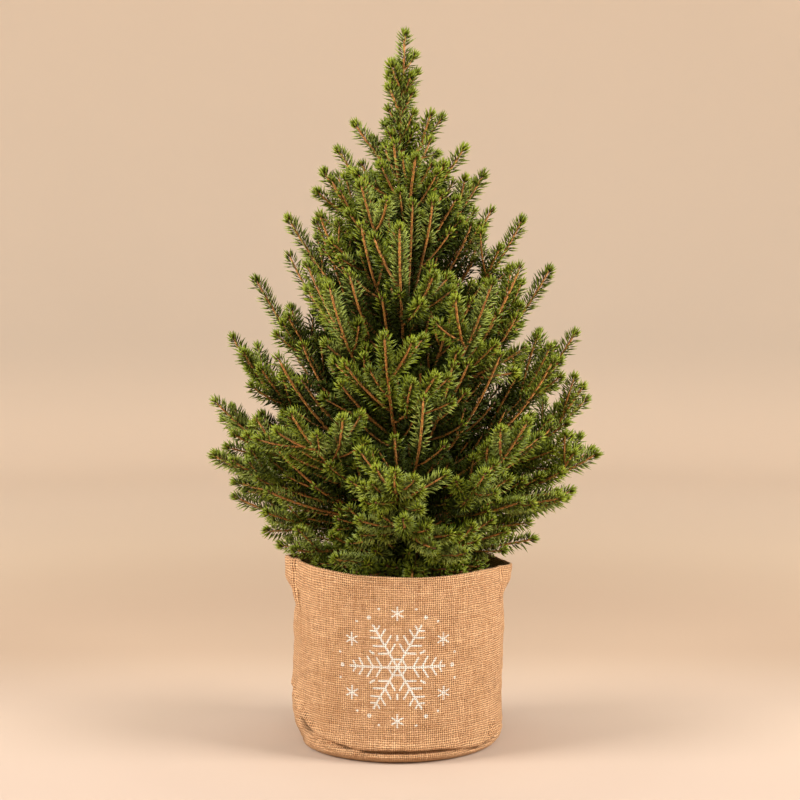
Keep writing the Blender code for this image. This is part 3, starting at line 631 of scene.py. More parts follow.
def shoot_needles(line, foot_radius, step, rule, start=0.004):
    """Feet, directions, twig directions, lengths and distances to the tip of one shoot's
    needles. The lean from the twig is 64 degrees, and falls to 16 over the last 7 mm. Over
    the last 4 mm the needles stand twice as close."""
    length = line_length(line)
    doubled = np.arange(length - TIP_DEPTH, length + step, step)
    places = np.concatenate([np.arange(start, length, step), doubled])
    count = len(places)
    places = places + rule.uniform(-0.3, 0.3, count) * step
    ways = unit(np.gradient(line, axis=0))
    ways = unit(np.stack([np.interp(places, walked(line), ways[:, axis]) for axis in range(3)], axis=1))
    across = unit(np.cross(ways, NEARLY_UP))
    over = np.cross(across, ways)
    turn = np.arange(count) * GOLDEN + rule.uniform(0, 6.28) + rule.normal(0, 0.16, count)
    out = np.cos(turn)[:, None] * across + np.sin(turn)[:, None] * over
    to_tip = length - places
    young = np.clip(to_tip / LEAN_DEPTH, 0.0, 1.0)
    lean = np.radians(END_LEAN + MORE_LEAN * young**0.7) + rule.normal(0, 0.12, count)
    aims = np.cos(lean)[:, None] * ways + np.sin(lean)[:, None] * out
    aims = unit(aims + np.array([0.0, 0.0, 0.06]))
    lengths = NEEDLE_LENGTH * (0.70 + 0.30 * np.clip(to_tip / 0.010, 0.0, 1.0))
    lengths = lengths * (0.80 + 0.20 * np.clip(places / 0.02, 0.0, 1.0)) * rule.uniform(0.84, 1.1, count)
    feet = points_along(line, places) + out * foot_radius * 0.6
    outward = unit(feet * np.array([1.0, 1.0, 0.0]) - np.array([TRUNK_X, 0.0, 0.0]))
    outer_face = unit(outward - ways * (outward * ways).sum(axis=1)[:, None])
    kept = ((out * outer_face).sum(axis=1) < PARTED) | (to_tip < TIP_DEPTH)
    kept |= rule.random(count) < PARTED_SHARE
    return [values[kept] for values in (feet, aims, ways, lengths, to_tip)]


# %% Needle meshes
NEEDLE_RADIUS, NEEDLE_SIDES = 0.00084, 3
FOOT_DEPTH = 0.0004  # how far a needle's foot is sunk into its twig


def needles_mesh(name, feet, aims, ways, lengths):
    """One mesh of needles. Each is a spindle: a sunk foot, a ring of three points at half its
    length, pushed a little towards the twig's end, and a tip. The points carry how far along
    the needle they are."""
    rule = np.random.default_rng(len(feet))
    bend = unit(ways - aims * (ways * aims).sum(axis=1)[:, None]) * lengths[:, None]
    radii = NEEDLE_RADIUS * rule.uniform(0.85, 1.12, len(feet))
    along = aims * lengths[:, None]
    ring = (feet + 0.5 * along + 0.03 * bend)[:, None, :]
    ring = ring + circles_across(aims, NEEDLE_SIDES, ways) * radii[:, None, None]
    ends = np.stack([feet - FOOT_DEPTH * aims, feet + along + 0.09 * bend], axis=1)
    points = np.concatenate([ring, ends], axis=1)
    shifts = np.arange(len(feet))[:, None, None] * (NEEDLE_SIDES + 2)
    faces = ring_faces(1, NEEDLE_SIDES)[None] + shifts
    mesh = mesh_of(name, points.reshape(-1, 3), faces.reshape(-1, 3))
    mark(mesh, "along", np.tile([0.5] * NEEDLE_SIDES + [0.0, 1.0], len(feet)))
    return mesh


# %% [markdown]
# The colour of a needle goes with its age and place. Needles at the ends of shoots are this
# year's, fresh and yellow-green. Some shoots have a waxy, paler bloom. Needles deep in the
# crown get little light, and their darker colour is painted shade. So each shoot is dealt the
# green or the waxy kind, the needles that lie deep are dealt the dark kind of painted shade,
# and the last ones of a shoot the fresh one.

# %% Deal the needles to their kinds
KINDS = ("fresh", "green", "waxy", "shade")
FRESH_DEPTH = 0.0065  # how far from its tip a shoot's needles are this year's
# The dark kind that deep needles are dealt is painted shade.
DEEP = 0.070  # needles this far inside the crown's outline are of the dark kind
WAXY_SHARE = 0.42
STEM_PEG, TWIG_PEG, TRUNK_PEG = 0.0012, 0.0009, 0.0028  # how far from the middle needles stand


def depths_in_crown(points):
    """How far inside the crown's outline points are."""
    return crown_reach(points[:, 2]) - np.hypot(points[:, 0] - TRUNK_X, points[:, 1])


def deal_needles(shoots):
    """The needles of shoots, each a line with the radius and the step of the needles' feet,
    gathered by kind and clear of trunk and rim."""
    dealt = {kind: [] for kind in KINDS}
    draw = random.Random(SEED + 9000)
    rule = np.random.default_rng(SEED)
    for line, foot_radius, step in shoots:
        feet, aims, ways, lengths, to_tip = shoot_needles(line, foot_radius, step, rule)
        ends = feet + aims * lengths[:, None]
        heights = np.clip(ends[:, 2], SOIL_TOP, TRUNK_TIP)
        from_trunk = np.linalg.norm((ends - trunk_centres(heights))[:, :2], axis=1)
        clear = (from_trunk > trunk_radii(heights) + 0.001) | (ends[:, 2] > TRUNK_TIP)
        clear &= ends[:, 2] > lowest_allowed(ends) - 0.002
        kind = "waxy" if draw.random() < WAXY_SHARE else "green"
        depth = depths_in_crown(feet) + draw.uniform(-0.012, 0.012)
        fresh = (to_tip < FRESH_DEPTH) & (depth < DEEP + 0.012)
        # Painted shade: needles that lie deep in the crown take the dark kind.
        dark = (depth > DEEP) & ~fresh
        for name, chosen in (("fresh", fresh), ("shade", dark), (kind, ~fresh & ~dark)):
            dealt[name].append([values[clear & chosen] for values in (feet, aims, ways, lengths)])
    return {kind: [np.concatenate(parts) for parts in zip(*groups)] for kind, groups in dealt.items()}


spire = trunk_centres(np.linspace(0.40, TRUNK_TIP, 60))
leafy = [(line, STEM_PEG, NEEDLE_STEP) for line in stems + sides]
leafy += [(line, TWIG_PEG, NEEDLE_STEP) for line in outer_twigs]
leafy += [(line, STEM_PEG, INNER_STEP) for line in inner]
leafy += [(line, TWIG_PEG, INNER_STEP) for line in inner_twigs]
leafy.append((spire, TRUNK_PEG, NEEDLE_STEP))
dealt = deal_needles(leafy)
print("Needles:", {kind: len(parts[0]) for kind, parts in dealt.items()})


# %% [markdown]
# ## Writing materials as sums
# A material in Blender is a graph of nodes. Its arithmetic is easier to read as a sum, so one
# small class wraps a socket and lets it be added, multiplied and compared, and each operation
# adds its node. A second class holds one material, makes any node and blends colours.

# %% Values that vary
def arithmetic(operation, turned=False):
    """A method that adds the node of one operation, with its two values swapped if asked."""
    def method(self, *others):
        values = (self, *others)[::-1] if turned else (self, *others)
        return self.paint.node("ShaderNodeMath", {"operation": operation}, values)
    return method


class Field:
    """A value that changes over a surface. Sums and products of fields are fields."""

    def __init__(self, paint, socket):
        self.paint = paint
        self.socket = socket

    __add__ = __radd__ = arithmetic("ADD")
    __sub__, __rsub__ = arithmetic("SUBTRACT"), arithmetic("SUBTRACT", turned=True)
    __mul__ = __rmul__ = arithmetic("MULTIPLY")
    __truediv__ = arithmetic("DIVIDE")
    __pow__ = arithmetic("POWER")
    __abs__ = arithmetic("ABSOLUTE")
    least, most = arithmetic("MINIMUM"), arithmetic("MAXIMUM")
    sine, cosine, floor = arithmetic("SINE"), arithmetic("COSINE"), arithmetic("FLOOR")
    angle_over = arithmetic("ARCTAN2")

    def rise(self, start, end, low=0.0, high=1.0):
        """Smoothly from low where the value is at start to high where it is at end."""
        settings = {"interpolation_type": "SMOOTHSTEP"}
        return self.paint.node("ShaderNodeMapRange", settings, [self, start, end, low, high])


# %% Materials
class Paint:
    """One material, whose nodes are made as its sums are written."""

    def __init__(self, name, roughness, specular=0.5):
        self.material = bpy.data.materials.new(name)
        self.material.use_nodes = True
        self.tree = self.material.node_tree
        self.shader = self.tree.nodes["Principled BSDF"]
        self.shader.inputs["Roughness"].default_value = roughness
        self.shader.inputs["Specular IOR Level"].default_value = specular
        self.place = self.node("ShaderNodeTexCoord", {}, {}, "Object")  # metres, the part's frame

    def node(self, kind, settings, values, output=0):
        """Any node: its settings are set first, then its sockets, by order or by name."""
        node = self.tree.nodes.new(kind)
        for name, value in settings.items():
            setattr(node, name, value)
        pairs = values.items() if isinstance(values, dict) else enumerate(values)
        for key, value in pairs:
            self.give(node.inputs[key], value)
        return Field(self, node.outputs[output])

    def give(self, socket, value):
        if isinstance(value, Field):
            self.tree.links.new(value.socket, socket)
        else:
            socket.default_value = value

    def parts(self, vector):
        """The three numbers of a vector."""
        return [self.node("ShaderNodeSeparateXYZ", {}, [vector], axis) for axis in range(3)]

    def marked(self, name):
        """A number that the mesh carries at its points."""
        return self.node("ShaderNodeAttribute", {"attribute_name": name}, {}, "Fac")

    def upright(self, share):
        """The place with its height cut to a share, which stretches patterns upwards."""
        return self.node("ShaderNodeMapping", {}, {"Vector": self.place, "Scale": (1.0, 1.0, share)})

    def noise(self, size, detail, at=None):
        """Irregular value between 0 and 1 whose blotches are about one size in metres."""
        values = {"Vector": at or self.place, "Scale": 1.0 / size, "Detail": detail, "Roughness": 0.55}
        return self.node("ShaderNodeTexNoise", {}, values, "Fac")

    def cells(self, size, at=None):
        """Distance to the nearest of scattered points that lie about one size apart."""
        values = {"Vector": at or self.place, "Scale": 1.0 / size}
        return self.node("ShaderNodeTexVoronoi", {}, values, "Distance")

    def blend(self, factor, first, second):
        """A colour between two: the first where the factor is 0, the second where it is 1."""
        node = self.tree.nodes.new("ShaderNodeMix")
        node.data_type = "RGBA"
        for socket, value in ((0, factor), (6, first), (7, second)):
            self.give(node.inputs[socket], (*value, 1.0) if isinstance(value, tuple) else value)
        return Field(self, node.outputs[2])

    def bump(self, height, depth, strength=1.0):
        """Tilts the shading as if the surface stood up by height times depth metres."""
        values = {"Strength": strength, "Distance": depth, "Height": height}
        self.give(self.shader.inputs["Normal"], self.node("ShaderNodeBump", {}, values))

    def colour(self, value):
        self.give(self.shader.inputs["Base Color"], value)

    def roughness(self, value):
        self.give(self.shader.inputs["Roughness"], value)


# %% [markdown]
# ## Needle finish
# Needles are satin: a thin wax layer gives them a soft shine. The colour changes a little
# from needle to needle, which a fine noise gives, and each is darkest at its foot, where its
# neighbours shade it: a painted shade. The waxy kind is duller and bluer because its bloom
# scatters the light.

# %% Needle materials
FOOT_SHADE = 0.25  # how much of the deeper green is left at a needle's foot


def needle_finish(name, deep, bright, roughness, specular):
    """Two close greens dealt by a noise of a few needles' width, darkened towards the needle's
    foot by painted shade, and an uneven shine."""
    paint = Paint(name, roughness, specular)
    speckle = paint.noise(0.0035, 2.0)
    drift = paint.noise(0.030, 2.0)
    green = paint.blend((speckle * 0.65 + drift * 0.55).rise(0.38, 0.78), deep, bright)
    # Painted shade: the needle's foot is darker, where its neighbours shade it.
    foot = tuple(FOOT_SHADE * part for part in deep)
    paint.colour(paint.blend(paint.marked("along").rise(0.0, 0.8), foot, green))
    paint.roughness(speckle * 0.2 + (roughness - 0.1))
    return paint


# Kind: deeper and brighter green, roughness and shine.
NEEDLE_LOOKS = {
    "fresh": ((0.078, 0.112, 0.003), (0.268, 0.324, 0.016), 0.40, 0.26),
    "green": ((0.051, 0.082, 0.003), (0.232, 0.288, 0.016), 0.36, 0.26),
    "waxy": ((0.073, 0.110, 0.011), (0.318, 0.380, 0.064), 0.46, 0.28),
    "shade": ((0.015, 0.024, 0.001), (0.060, 0.084, 0.003), 0.50, 0.15),
}

# %% Needle pieces
foliage_nodes = nodes_named("mass_")
MOST_NEEDLES = 32000  # in one piece
for kind, arrays in dealt.items():
    finish = needle_finish(f"needles_{kind}", *NEEDLE_LOOKS[kind])
    count = len(arrays[0])
    parts = math.ceil(count / MOST_NEEDLES)
    for number in range(parts):
        chosen = slice(number * count // parts, (number + 1) * count // parts)
        name = f"needles_{kind}_{number + 1}"
        mesh = needles_mesh(name, *[values[chosen] for values in arrays])
        piece(name, mesh, finish, foliage_nodes)


# %% [markdown]
# ## Twig wood and buds
# The young wood is orange-brown and ridged, because each needle stands on a peg whose foot
# runs down the twig. The ridges are made in the mesh by a radius that swells and shrinks.
# Each twig ends in a small egg-shaped bud of overlapping brown scales.

# %% Twig tubes
def limb_rings(line, radii, rings, sides, roughness, pitch, seed):
    """Rings along a line: circles across it, whose radius follows the given taper times one
    plus a fine swell. The first and last rings shrink to about half, towards the middle line."""
    length = line_length(line)
    places = np.linspace(0.0, length, rings)
    centres = points_along(line, places)
    round_it = circles_across(unit(np.gradient(centres, axis=0)), sides, NEARLY_UP)
    taper = np.interp(places / length, np.linspace(0, 1, len(radii)), radii)
    surface = centres[:, None, :] + round_it * taper[:, None, None]
    uneven = 1.0 + roughness * swell(surface, pitch, seed)
    uneven[[0, -1]] *= 0.55
    return centres[:, None, :] + round_it * (taper[:, None] * uneven)[:, :, None]


wood = Paint("young_wood", 0.62)
grain = wood.noise(0.0022, 3.0)
blotch = wood.noise(0.018, 2.0)
young = wood.blend(grain.rise(0.3, 0.7), (0.225, 0.085, 0.016), (0.600, 0.275, 0.065))
young = wood.blend(blotch.rise(0.55, 0.75, 0.0, 0.5), young, (0.155, 0.085, 0.042))
aside, back, height = wood.parts(wood.place)
from_trunk = ((aside - TRUNK_X) * (aside - TRUNK_X) + back * back) ** 0.5
# Old wood near the trunk and low in the crown is darker, and this dark brown is also painted shade of the
# crown's inside.
youth_and_light = from_trunk.rise(0.02, 0.07).most(height.rise(0.38, 0.52))
wood.colour(wood.blend(youth_and_light, (0.085, 0.038, 0.014), young))
wood.bump(grain, 0.0006)

# Piece: its lines, the radii from foot to tip, the rings and sides of each tube.
WOOD_PIECES = (
    ("stems", stems + inner, (0.0019, 0.0015, 0.0012, 0.0010), 26, 6),
    ("side_shoots", sides, (0.0014, 0.0012, 0.0009), 20, 6),
    ("twigs", twigs, (0.0011, 0.0010, 0.0008), 8, 5),
)
PEG_SWELL, PEG_PITCH = 0.16, 0.0032
for name, lines, *shape in WOOD_PIECES:
    rings = np.stack([limb_rings(line, *shape, PEG_SWELL, PEG_PITCH, 11) for line in lines])
    tube_piece(name, rings, wood, foliage_nodes)


# %% Buds
BUD_LENGTH, BUD_RINGS, BUD_SIDES = 0.0040, 4, 5


def bud_rings(lines):
    """An egg at the tip of each line, along its last direction. Its radius is a skewed sine
    of the height, so that its upper end is pointed."""
    tips = np.array([line[-1] for line in lines])
    ways = unit(np.array([line[-1] - line[-4] for line in lines]))
    heights = np.linspace(0.02, 0.98, BUD_RINGS)
    radii = np.sin(math.pi * heights**0.8) ** 0.9 * 0.42 * BUD_LENGTH
    centres = tips[:, None, :] + ways[:, None, :] * (heights - 0.25)[:, None] * BUD_LENGTH
    round_it = circles_across(ways, BUD_SIDES, NEARLY_UP)[:, None]
    return centres[:, :, None, :] + round_it * radii[None, :, None, None]


bud = Paint("bud_scales", 0.5)
scales = bud.cells(0.0011)
bud.colour(bud.blend(scales.rise(0.1, 0.6), (0.30, 0.115, 0.035), (0.115, 0.040, 0.014)))
bud.bump(1 - scales, 0.0005)
tube_piece("buds", bud_rings(stems + sides + inner + twigs), bud, foliage_nodes)


# %% [markdown]
# ## Trunk and boughs
# Old spruce wood is grey-brown and scaly: the pegs of fallen needles leave small plates that
# run up the stem. Towards the top the trunk is younger, and as orange as the twigs. It is a
# tube whose radius is the taper, times one plus ridges that are stretched upwards, plus slow
# swellings as where boughs leave. The boughs are tubes of the same kind.

# %% Trunk and boughs
def trunk_rings(sides=30, rings=320):
    """Circles round the trunk's line. The radius is the taper and flare times one plus a
    stretched swell (plates) and a slow one (knots)."""
    heights = np.linspace(SOIL_TOP - 0.0012, TRUNK_TIP, rings)
    cosines, sines = circle_of(sides)
    round_it = np.stack([cosines, sines, np.zeros(sides)], axis=-1)
    radii = trunk_radii(np.maximum(heights, SOIL_TOP))
    surface = trunk_centres(heights)[:, None, :] + round_it * radii[:, None, None]
    plates = swell(surface * np.array([1.0, 1.0, 0.42]), 0.0030, 21)
    knots = swell(surface, 0.019, 22)
    radii = radii[:, None] * (1.0 + 0.055 * plates + 0.05 * knots)
    return trunk_centres(heights)[:, None, :] + round_it * radii[:, :, None]


bark = Paint("bark_scales", 0.8)
plates = bark.cells(0.0032, bark.upright(0.45))
fibre = bark.noise(0.0012, 4.0, bark.upright(0.3))
worn = bark.noise(0.02, 3.0)
scaly = bark.blend(plates.rise(0.15, 0.65), (0.300, 0.175, 0.090), (0.085, 0.042, 0.020))
scaly = bark.blend(worn.rise(0.4, 0.7, 0.0, 0.6), scaly, (0.270, 0.120, 0.045))
height = bark.parts(bark.place)[2]
young = bark.blend(plates.rise(0.15, 0.65), (0.530, 0.240, 0.062), (0.200, 0.078, 0.018))
bark.colour(bark.blend(height.rise(0.34, 0.50), scaly, young))
bark.roughness(fibre * 0.25 + 0.65)
bark.bump(fibre * 0.4 + (1 - plates), 0.0008)

tube_piece("trunk_bark", trunk_rings()[None], bark, ["trunk"])
bough_shape = ((0.0028, 0.0022, 0.0019), 44, 12, 0.09, 0.0036, 31)
bough_rings = np.stack([limb_rings(line, *bough_shape) for line in boughs])
tube_piece("bough_bark", bough_rings, bark, nodes_named("bough_"))


# %% [markdown]
# ## Soil
# The root ball is moist black peat. Its top is a disc that sinks a little to the pot's wall
# and is uneven at two scales, with loose crumbs lying on it. It is a turned shape like the
# pot, with the unevenness added to the height of its upper rings.

# %% Turned shapes and the soil
def turned_rings(profile, sides):
    """Rings of a shape turned round the upright axis, from (radius, height) points."""
    cosines, sines = circle_of(sides)
    radii, heights = np.array(profile).T
    radii, heights = radii[:, None], heights[:, None]
    return np.stack(np.broadcast_arrays(radii * cosines, radii * sines, heights), -1)


def soil_height(x, y):
    """Height of the peat: level round the trunk, sinking to the edge, with waves of 24 and
    7 mm on it."""
    reach = np.hypot(x, y)
    spots = np.stack([x, y, 0.0 * x], axis=-1)
    sink = 0.005 * np.clip((reach - 0.034) / 0.060, 0.0, 1.0)
    away = np.clip(reach / 0.012 - 0.6, 0.0, 1.0)
    waves = 0.0011 * swell(spots, 0.024, 41) + 0.0007 * swell(spots, 0.007, 42)
    return SOIL_TOP - sink + away * waves


POT_FLOOR = 0.0021
ball = [(0.0005, POT_FLOOR + 0.0020), (0.0812, POT_FLOOR + 0.0020), (0.0955, 0.150)]
top = [(radius, SOIL_TOP) for radius in np.linspace(0.0945, 0.0005, 64)]
rings = turned_rings(ball + top, 120)
upper = rings[len(ball) :]
upper[..., 2] = soil_height(upper[..., 0], upper[..., 1])

peat = Paint("moist_peat", 0.95, 0.25)
clods = peat.noise(0.006, 4.0)
crumb = peat.noise(0.0015, 3.0)
dark = peat.blend(clods.rise(0.3, 0.7), (0.010, 0.006, 0.004), (0.050, 0.028, 0.015))
peat.colour(peat.blend(crumb.rise(0.66, 0.72, 0.0, 0.8), dark, (0.160, 0.095, 0.050)))
peat.bump(crumb * 0.5 + clods, 0.0025)
tube_piece("soil_top", rings[None], peat, ["soil"])


# %% Crumbs of peat
CRUMBS, CRUMB_RINGS, CRUMB_SIDES = 620, 4, 6


def crumb_rings(centres, sizes, rule):
    """Small lumps: coarse spheres, squeezed by a random factor at each point."""
    share = np.linspace(0.18, 0.82, CRUMB_RINGS) * math.pi
    ball = turned_rings(np.column_stack([np.sin(share), np.cos(share)]), CRUMB_SIDES)
    uneven = rule.uniform(0.65, 1.25, (CRUMBS, CRUMB_RINGS, CRUMB_SIDES, 1))
    flat = np.stack([rule.uniform(*span, CRUMBS) for span in ((0.8, 1.3), (0.8, 1.2), (0.5, 0.9))], axis=-1)
    shapes = ball[None, ::-1] * uneven * (flat * sizes[:, None])[:, None, None, :]
    return centres[:, None, None, :] + shapes


rule = np.random.default_rng(SEED + 1)
reach = 0.092 * np.sqrt(rule.uniform(0.012, 1.0, CRUMBS))
angle = rule.uniform(0, 2 * math.pi, CRUMBS)
x, y = reach * np.cos(angle), reach * np.sin(angle)
sizes = rule.uniform(0.0007, 0.0021, CRUMBS)
crumbs = crumb_rings(np.column_stack([x, y, soil_height(x, y) + 0.25 * sizes]), sizes, rule)
tube_piece("soil_crumbs", crumbs, peat, ["soil"])


# %% [markdown]
# ## Nursery pot
# The pot is thin black plastic with a rolled lip. Only its rim shows, between soil and cloth,
# but it is whole. Its profile is carried round, with small radii at the lip so that the edge
# catches the light.

# %% Pot
POT_HEIGHT, POT_FOOT_RADIUS, POT_WALL = 0.167, 0.0830, 0.0014
pot_rim = POT_FLOOR + POT_HEIGHT
lip_foot = pot_rim - 0.012


def pot_wall(start, end, count, inset):
    """Radius and height up or down the pot's wall, an even taper from foot to rim."""
    heights = np.linspace(start, end, count)
    share = (heights - POT_FLOOR) / POT_HEIGHT
    radii = POT_FOOT_RADIUS + (POT_RIM_RADIUS - POT_FOOT_RADIUS) * share - inset
    return list(zip(radii, heights))


foot = [(0.0005, POT_FLOOR), (0.0815, POT_FLOOR), (0.0826, POT_FLOOR + 0.0005)]
lip = [
    (0.0986, lip_foot), (0.0990, lip_foot + 0.0008), (0.0990, pot_rim - 0.0010),
    (0.0986, pot_rim - 0.0003), (0.0980, pot_rim), (0.0970, pot_rim - 0.0001),
    (0.0966, pot_rim - 0.0007),
]
inside = [(0.0810, POT_FLOOR + POT_WALL), (0.0005, POT_FLOOR + POT_WALL)]
outer_wall = pot_wall(POT_FLOOR + 0.002, lip_foot, 12, 0.0)
inner_wall = pot_wall(lip_foot, POT_FLOOR + 0.003, 10, POT_WALL)
pot_rings = turned_rings(foot + outer_wall + lip + inner_wall + inside, 128)

plastic = Paint("black_pot_plastic", 0.42)
scuff = plastic.noise(0.004, 4.0, plastic.upright(0.15))
dust = plastic.noise(0.02, 3.0)
plastic.colour(plastic.blend(dust.rise(0.5, 0.75, 0.0, 0.5), (0.012, 0.012, 0.013), (0.060, 0.048, 0.038)))
plastic.roughness(scuff * 0.35 + 0.25)
plastic.bump(scuff, 0.0003)
tube_piece("pot_shell", pot_rings[None], plastic, ["nursery_pot"])


# %% [markdown]
# ## The jute sack
# The bag is sewn from coarse jute: a round bottom, a tall side with a seam at the left and
# right, and an upper edge turned in. It isn't stretched over the pot, so it sags: it bulges
# low on the left, its seams stand out as two ears at the rim, and it is creased where side
# and bottom meet. The cloth could be simulated, but its folds are few and known, so each is
# written as a small formula of the angle and height, added to a smooth profile.

# %% Profile of the sack
FLAT_RADIUS, CORNER = 0.0885, 0.014
HEM_DEPTH, HEM_WALL, HEM_PROUD, CLOTH = 0.021, 0.0030, 0.0005, 0.0018
RIM_FOOT = SACK_HEIGHT - 0.0022
BOTTOM_RINGS, SIDE_RING = 8, 60  # rings of the flat underside, and one ring on the side


def sack_profile():
    """Radius, height and distance along the cloth of the rings: over the bottom, round the
    corner, up the side, over the turned edge and down the inside to the middle again."""
    def rows(radii, heights):
        return np.column_stack(np.broadcast_arrays(radii, heights))

    turn = np.linspace(0.0, math.pi / 2, 36)
    low_side = np.linspace(CORNER + 0.0005, 0.045, 58)
    side = np.concatenate([low_side, np.linspace(0.0463, RIM_FOOT, 88)])
    proud = HEM_PROUD * np.clip((side - (SACK_HEIGHT - HEM_DEPTH)) / 0.0015 + 0.5, 0.0, 1.0)
    roll = np.linspace(0.0, math.pi, 9)
    hem = SACK_RADIUS + HEM_PROUD - HEM_WALL / 2
    inner_turn = turn[5::5]
    inner_corner = CORNER - CLOTH
    return np.concatenate([
        rows(np.linspace(0.0006, FLAT_RADIUS - 0.004, BOTTOM_RINGS), 0.0),
        rows(FLAT_RADIUS + CORNER * np.sin(turn), CORNER * (1 - np.cos(turn))),
        rows(SACK_RADIUS + proud, side),
        rows(hem + HEM_WALL / 2 * np.cos(roll), SACK_HEIGHT - 0.0016 + 0.0016 * np.sin(roll)),
        rows(hem - HEM_WALL / 2, np.linspace(RIM_FOOT, SACK_HEIGHT - HEM_DEPTH, 9)),
        rows(SACK_RADIUS - CLOTH, np.linspace(SACK_HEIGHT - HEM_DEPTH - 0.0012, CORNER, 12)),
        rows(FLAT_RADIUS + inner_corner * np.cos(inner_turn), CORNER - inner_corner * np.sin(inner_turn)),
        rows(np.linspace(FLAT_RADIUS - 0.004, 0.0006, 5), CLOTH),
    ])


# %% [markdown]
# Every fold is built from two measures: a bell, which is one at its middle and fades to both
# sides, and the distance round the sack from a direction.

# %% One fold
def bell(value, width):
    """One where the value is 0, falling to nothing over about twice the width."""
    return np.exp(-((value / width) ** 2))


def around(angles, centre):
    """Distance round the sack from a direction in degrees, in metres, to either side."""
    turn = (angles - math.radians(centre) + math.pi) % (2 * math.pi) - math.pi
    return turn * SACK_RADIUS


def crease(angles, heights, start, end, width, depth):
    """A fold along a line between two (degrees, height) places: a groove with a swollen lip
    above it. Both follow the distance from the line and fade out at its ends."""
    run = np.array([math.radians(end[0] - start[0]) * SACK_RADIUS, end[1] - start[1]])
    length = math.hypot(*run)
    x, y = around(angles, start[0]), heights - start[1]
    along = np.clip((x * run[0] + y * run[1]) / length**2, 0.0, 1.0)
    away = np.hypot(x - along * run[0], y - along * run[1])
    above = (run[0] * y - run[1] * x) / length * np.sign(run[0])
    fade = np.sin(math.pi * np.clip(along * 0.9 + 0.05, 0.0, 1.0)) ** 0.5
    lip = 0.75 * bell(above - 1.7 * width, width) * bell(away, 4 * width)
    return fade * depth * (lip - bell(away, width))


# %% The fold over the bottom seam
# Direction in degrees, height of the step, its depth, and how far below it the cloth comes
# out again.
BOTTOM_FOLD = (
    (0, 0.0200, 0.0010, 0.004), (24, 0.0150, 0.0038, 0.004), (60, 0.0125, 0.0050, 0.003),
    (88, 0.0120, 0.0020, 0.003), (112, 0.0125, 0.0045, 0.003), (134, 0.0160, 0.0040, 0.004),
    (158, 0.0300, 0.0015, 0.005), (172, 0.0440, 0.0010, 0.006), (181, 0.0560, 0.0025, 0.012),
    (190, 0.0550, 0.0040, 0.020), (197, 0.0480, 0.0080, 0.022), (203, 0.0410, 0.0108, 0.020),
    (209, 0.0345, 0.0115, 0.015), (215, 0.0275, 0.0110, 0.009), (219, 0.0225, 0.0080, 0.005),
    (225, 0.0195, 0.0058, 0.003), (233, 0.0168, 0.0052, 0.003), (243, 0.0138, 0.0042, 0.003),
    (247, 0.0128, 0.0015, 0.003), (252, 0.0122, 0.0050, 0.003), (270, 0.0128, 0.0056, 0.003),
    (298, 0.0125, 0.0050, 0.003), (309, 0.0100, 0.0012, 0.003), (320, 0.0085, 0.0042, 0.003),
    (339, 0.0140, 0.0054, 0.004), (351, 0.0210, 0.0020, 0.004), (360, 0.0200, 0.0010, 0.004),
)


def bottom_fold(angles, heights):
    """The side hangs over the rolled bottom seam. At a wandering line the cloth steps in by
    a depth within a millimetre, and comes out again over a ledge below. Above the line it
    swells out as a lip, and further down the seam makes a roll."""
    turns, lines, depths, ledges = np.array(BOTTOM_FOLD).T
    degrees = np.degrees(angles) % 360
    above = heights - np.interp(degrees, turns, lines)
    depth, ledge = np.interp(degrees, turns, depths), np.interp(degrees, turns, ledges)
    below = np.exp(-((np.minimum(above, 0) / ledge) ** 4))
    stepped_in = np.where(above > 0, bell(above, 0.0009), below)
    lip = 0.40 * bell(above - 0.0045, 0.0038) + 0.20 * bell(above + 0.0070, 0.0035)
    return depth * (lip - stepped_in)


# %% All folds together
# Bulges and hollows: direction in degrees, height, half width and half height, how far out.
BULGES = (
    (196, 0.050, 0.045, 0.028, 0.0028), (183, 0.140, 0.020, 0.010, -0.0016),
    (186, 0.008, 0.030, 0.010, -0.0060),
)
# Upright folds near the rim, beside the ears: direction, half width, how far out.
UPRIGHT_FOLDS = ((197, 0.0044, -0.0064), (192, 0.0042, 0.0022), (346, 0.0038, -0.0030))
# Creases: their two ends as (direction, height), half width and depth.
CREASES = (
    ((212, 0.0150), (232, 0.0085), 0.0018, 0.0026), ((326, 0.0130), (336, 0.0290), 0.0026, 0.0026),
    ((126, 0.014), (160, 0.040), 0.0030, 0.0040), ((150, 0.060), (166, 0.110), 0.0040, 0.0022),
)
# Waves of the whole side: height, pitch and seed.
WAVES = ((0.0010, 0.075, 51), (0.0007, 0.030, 52), (0.0003, 0.012, 53))
EAR_FLARE, EAR_DEPTH = 0.0085, 0.036
EARS = ((0, 0.024), (180, 0.022))  # direction and half width
SEAMS = (1, 179)
POT_LEVEL = 0.156  # above it the cloth lies on the pot's rim and can't sink in


def ear(angles, heights, centre, width):
    """How far the cloth stands out at a side seam: evenly near the rim, then less and less."""
    rise = np.clip((heights - (SACK_HEIGHT - EAR_DEPTH)) / (0.6 * EAR_DEPTH), 0.0, 1.0)
    return EAR_FLARE * rise * rise * (3 - 2 * rise) * bell(around(angles, centre), width)


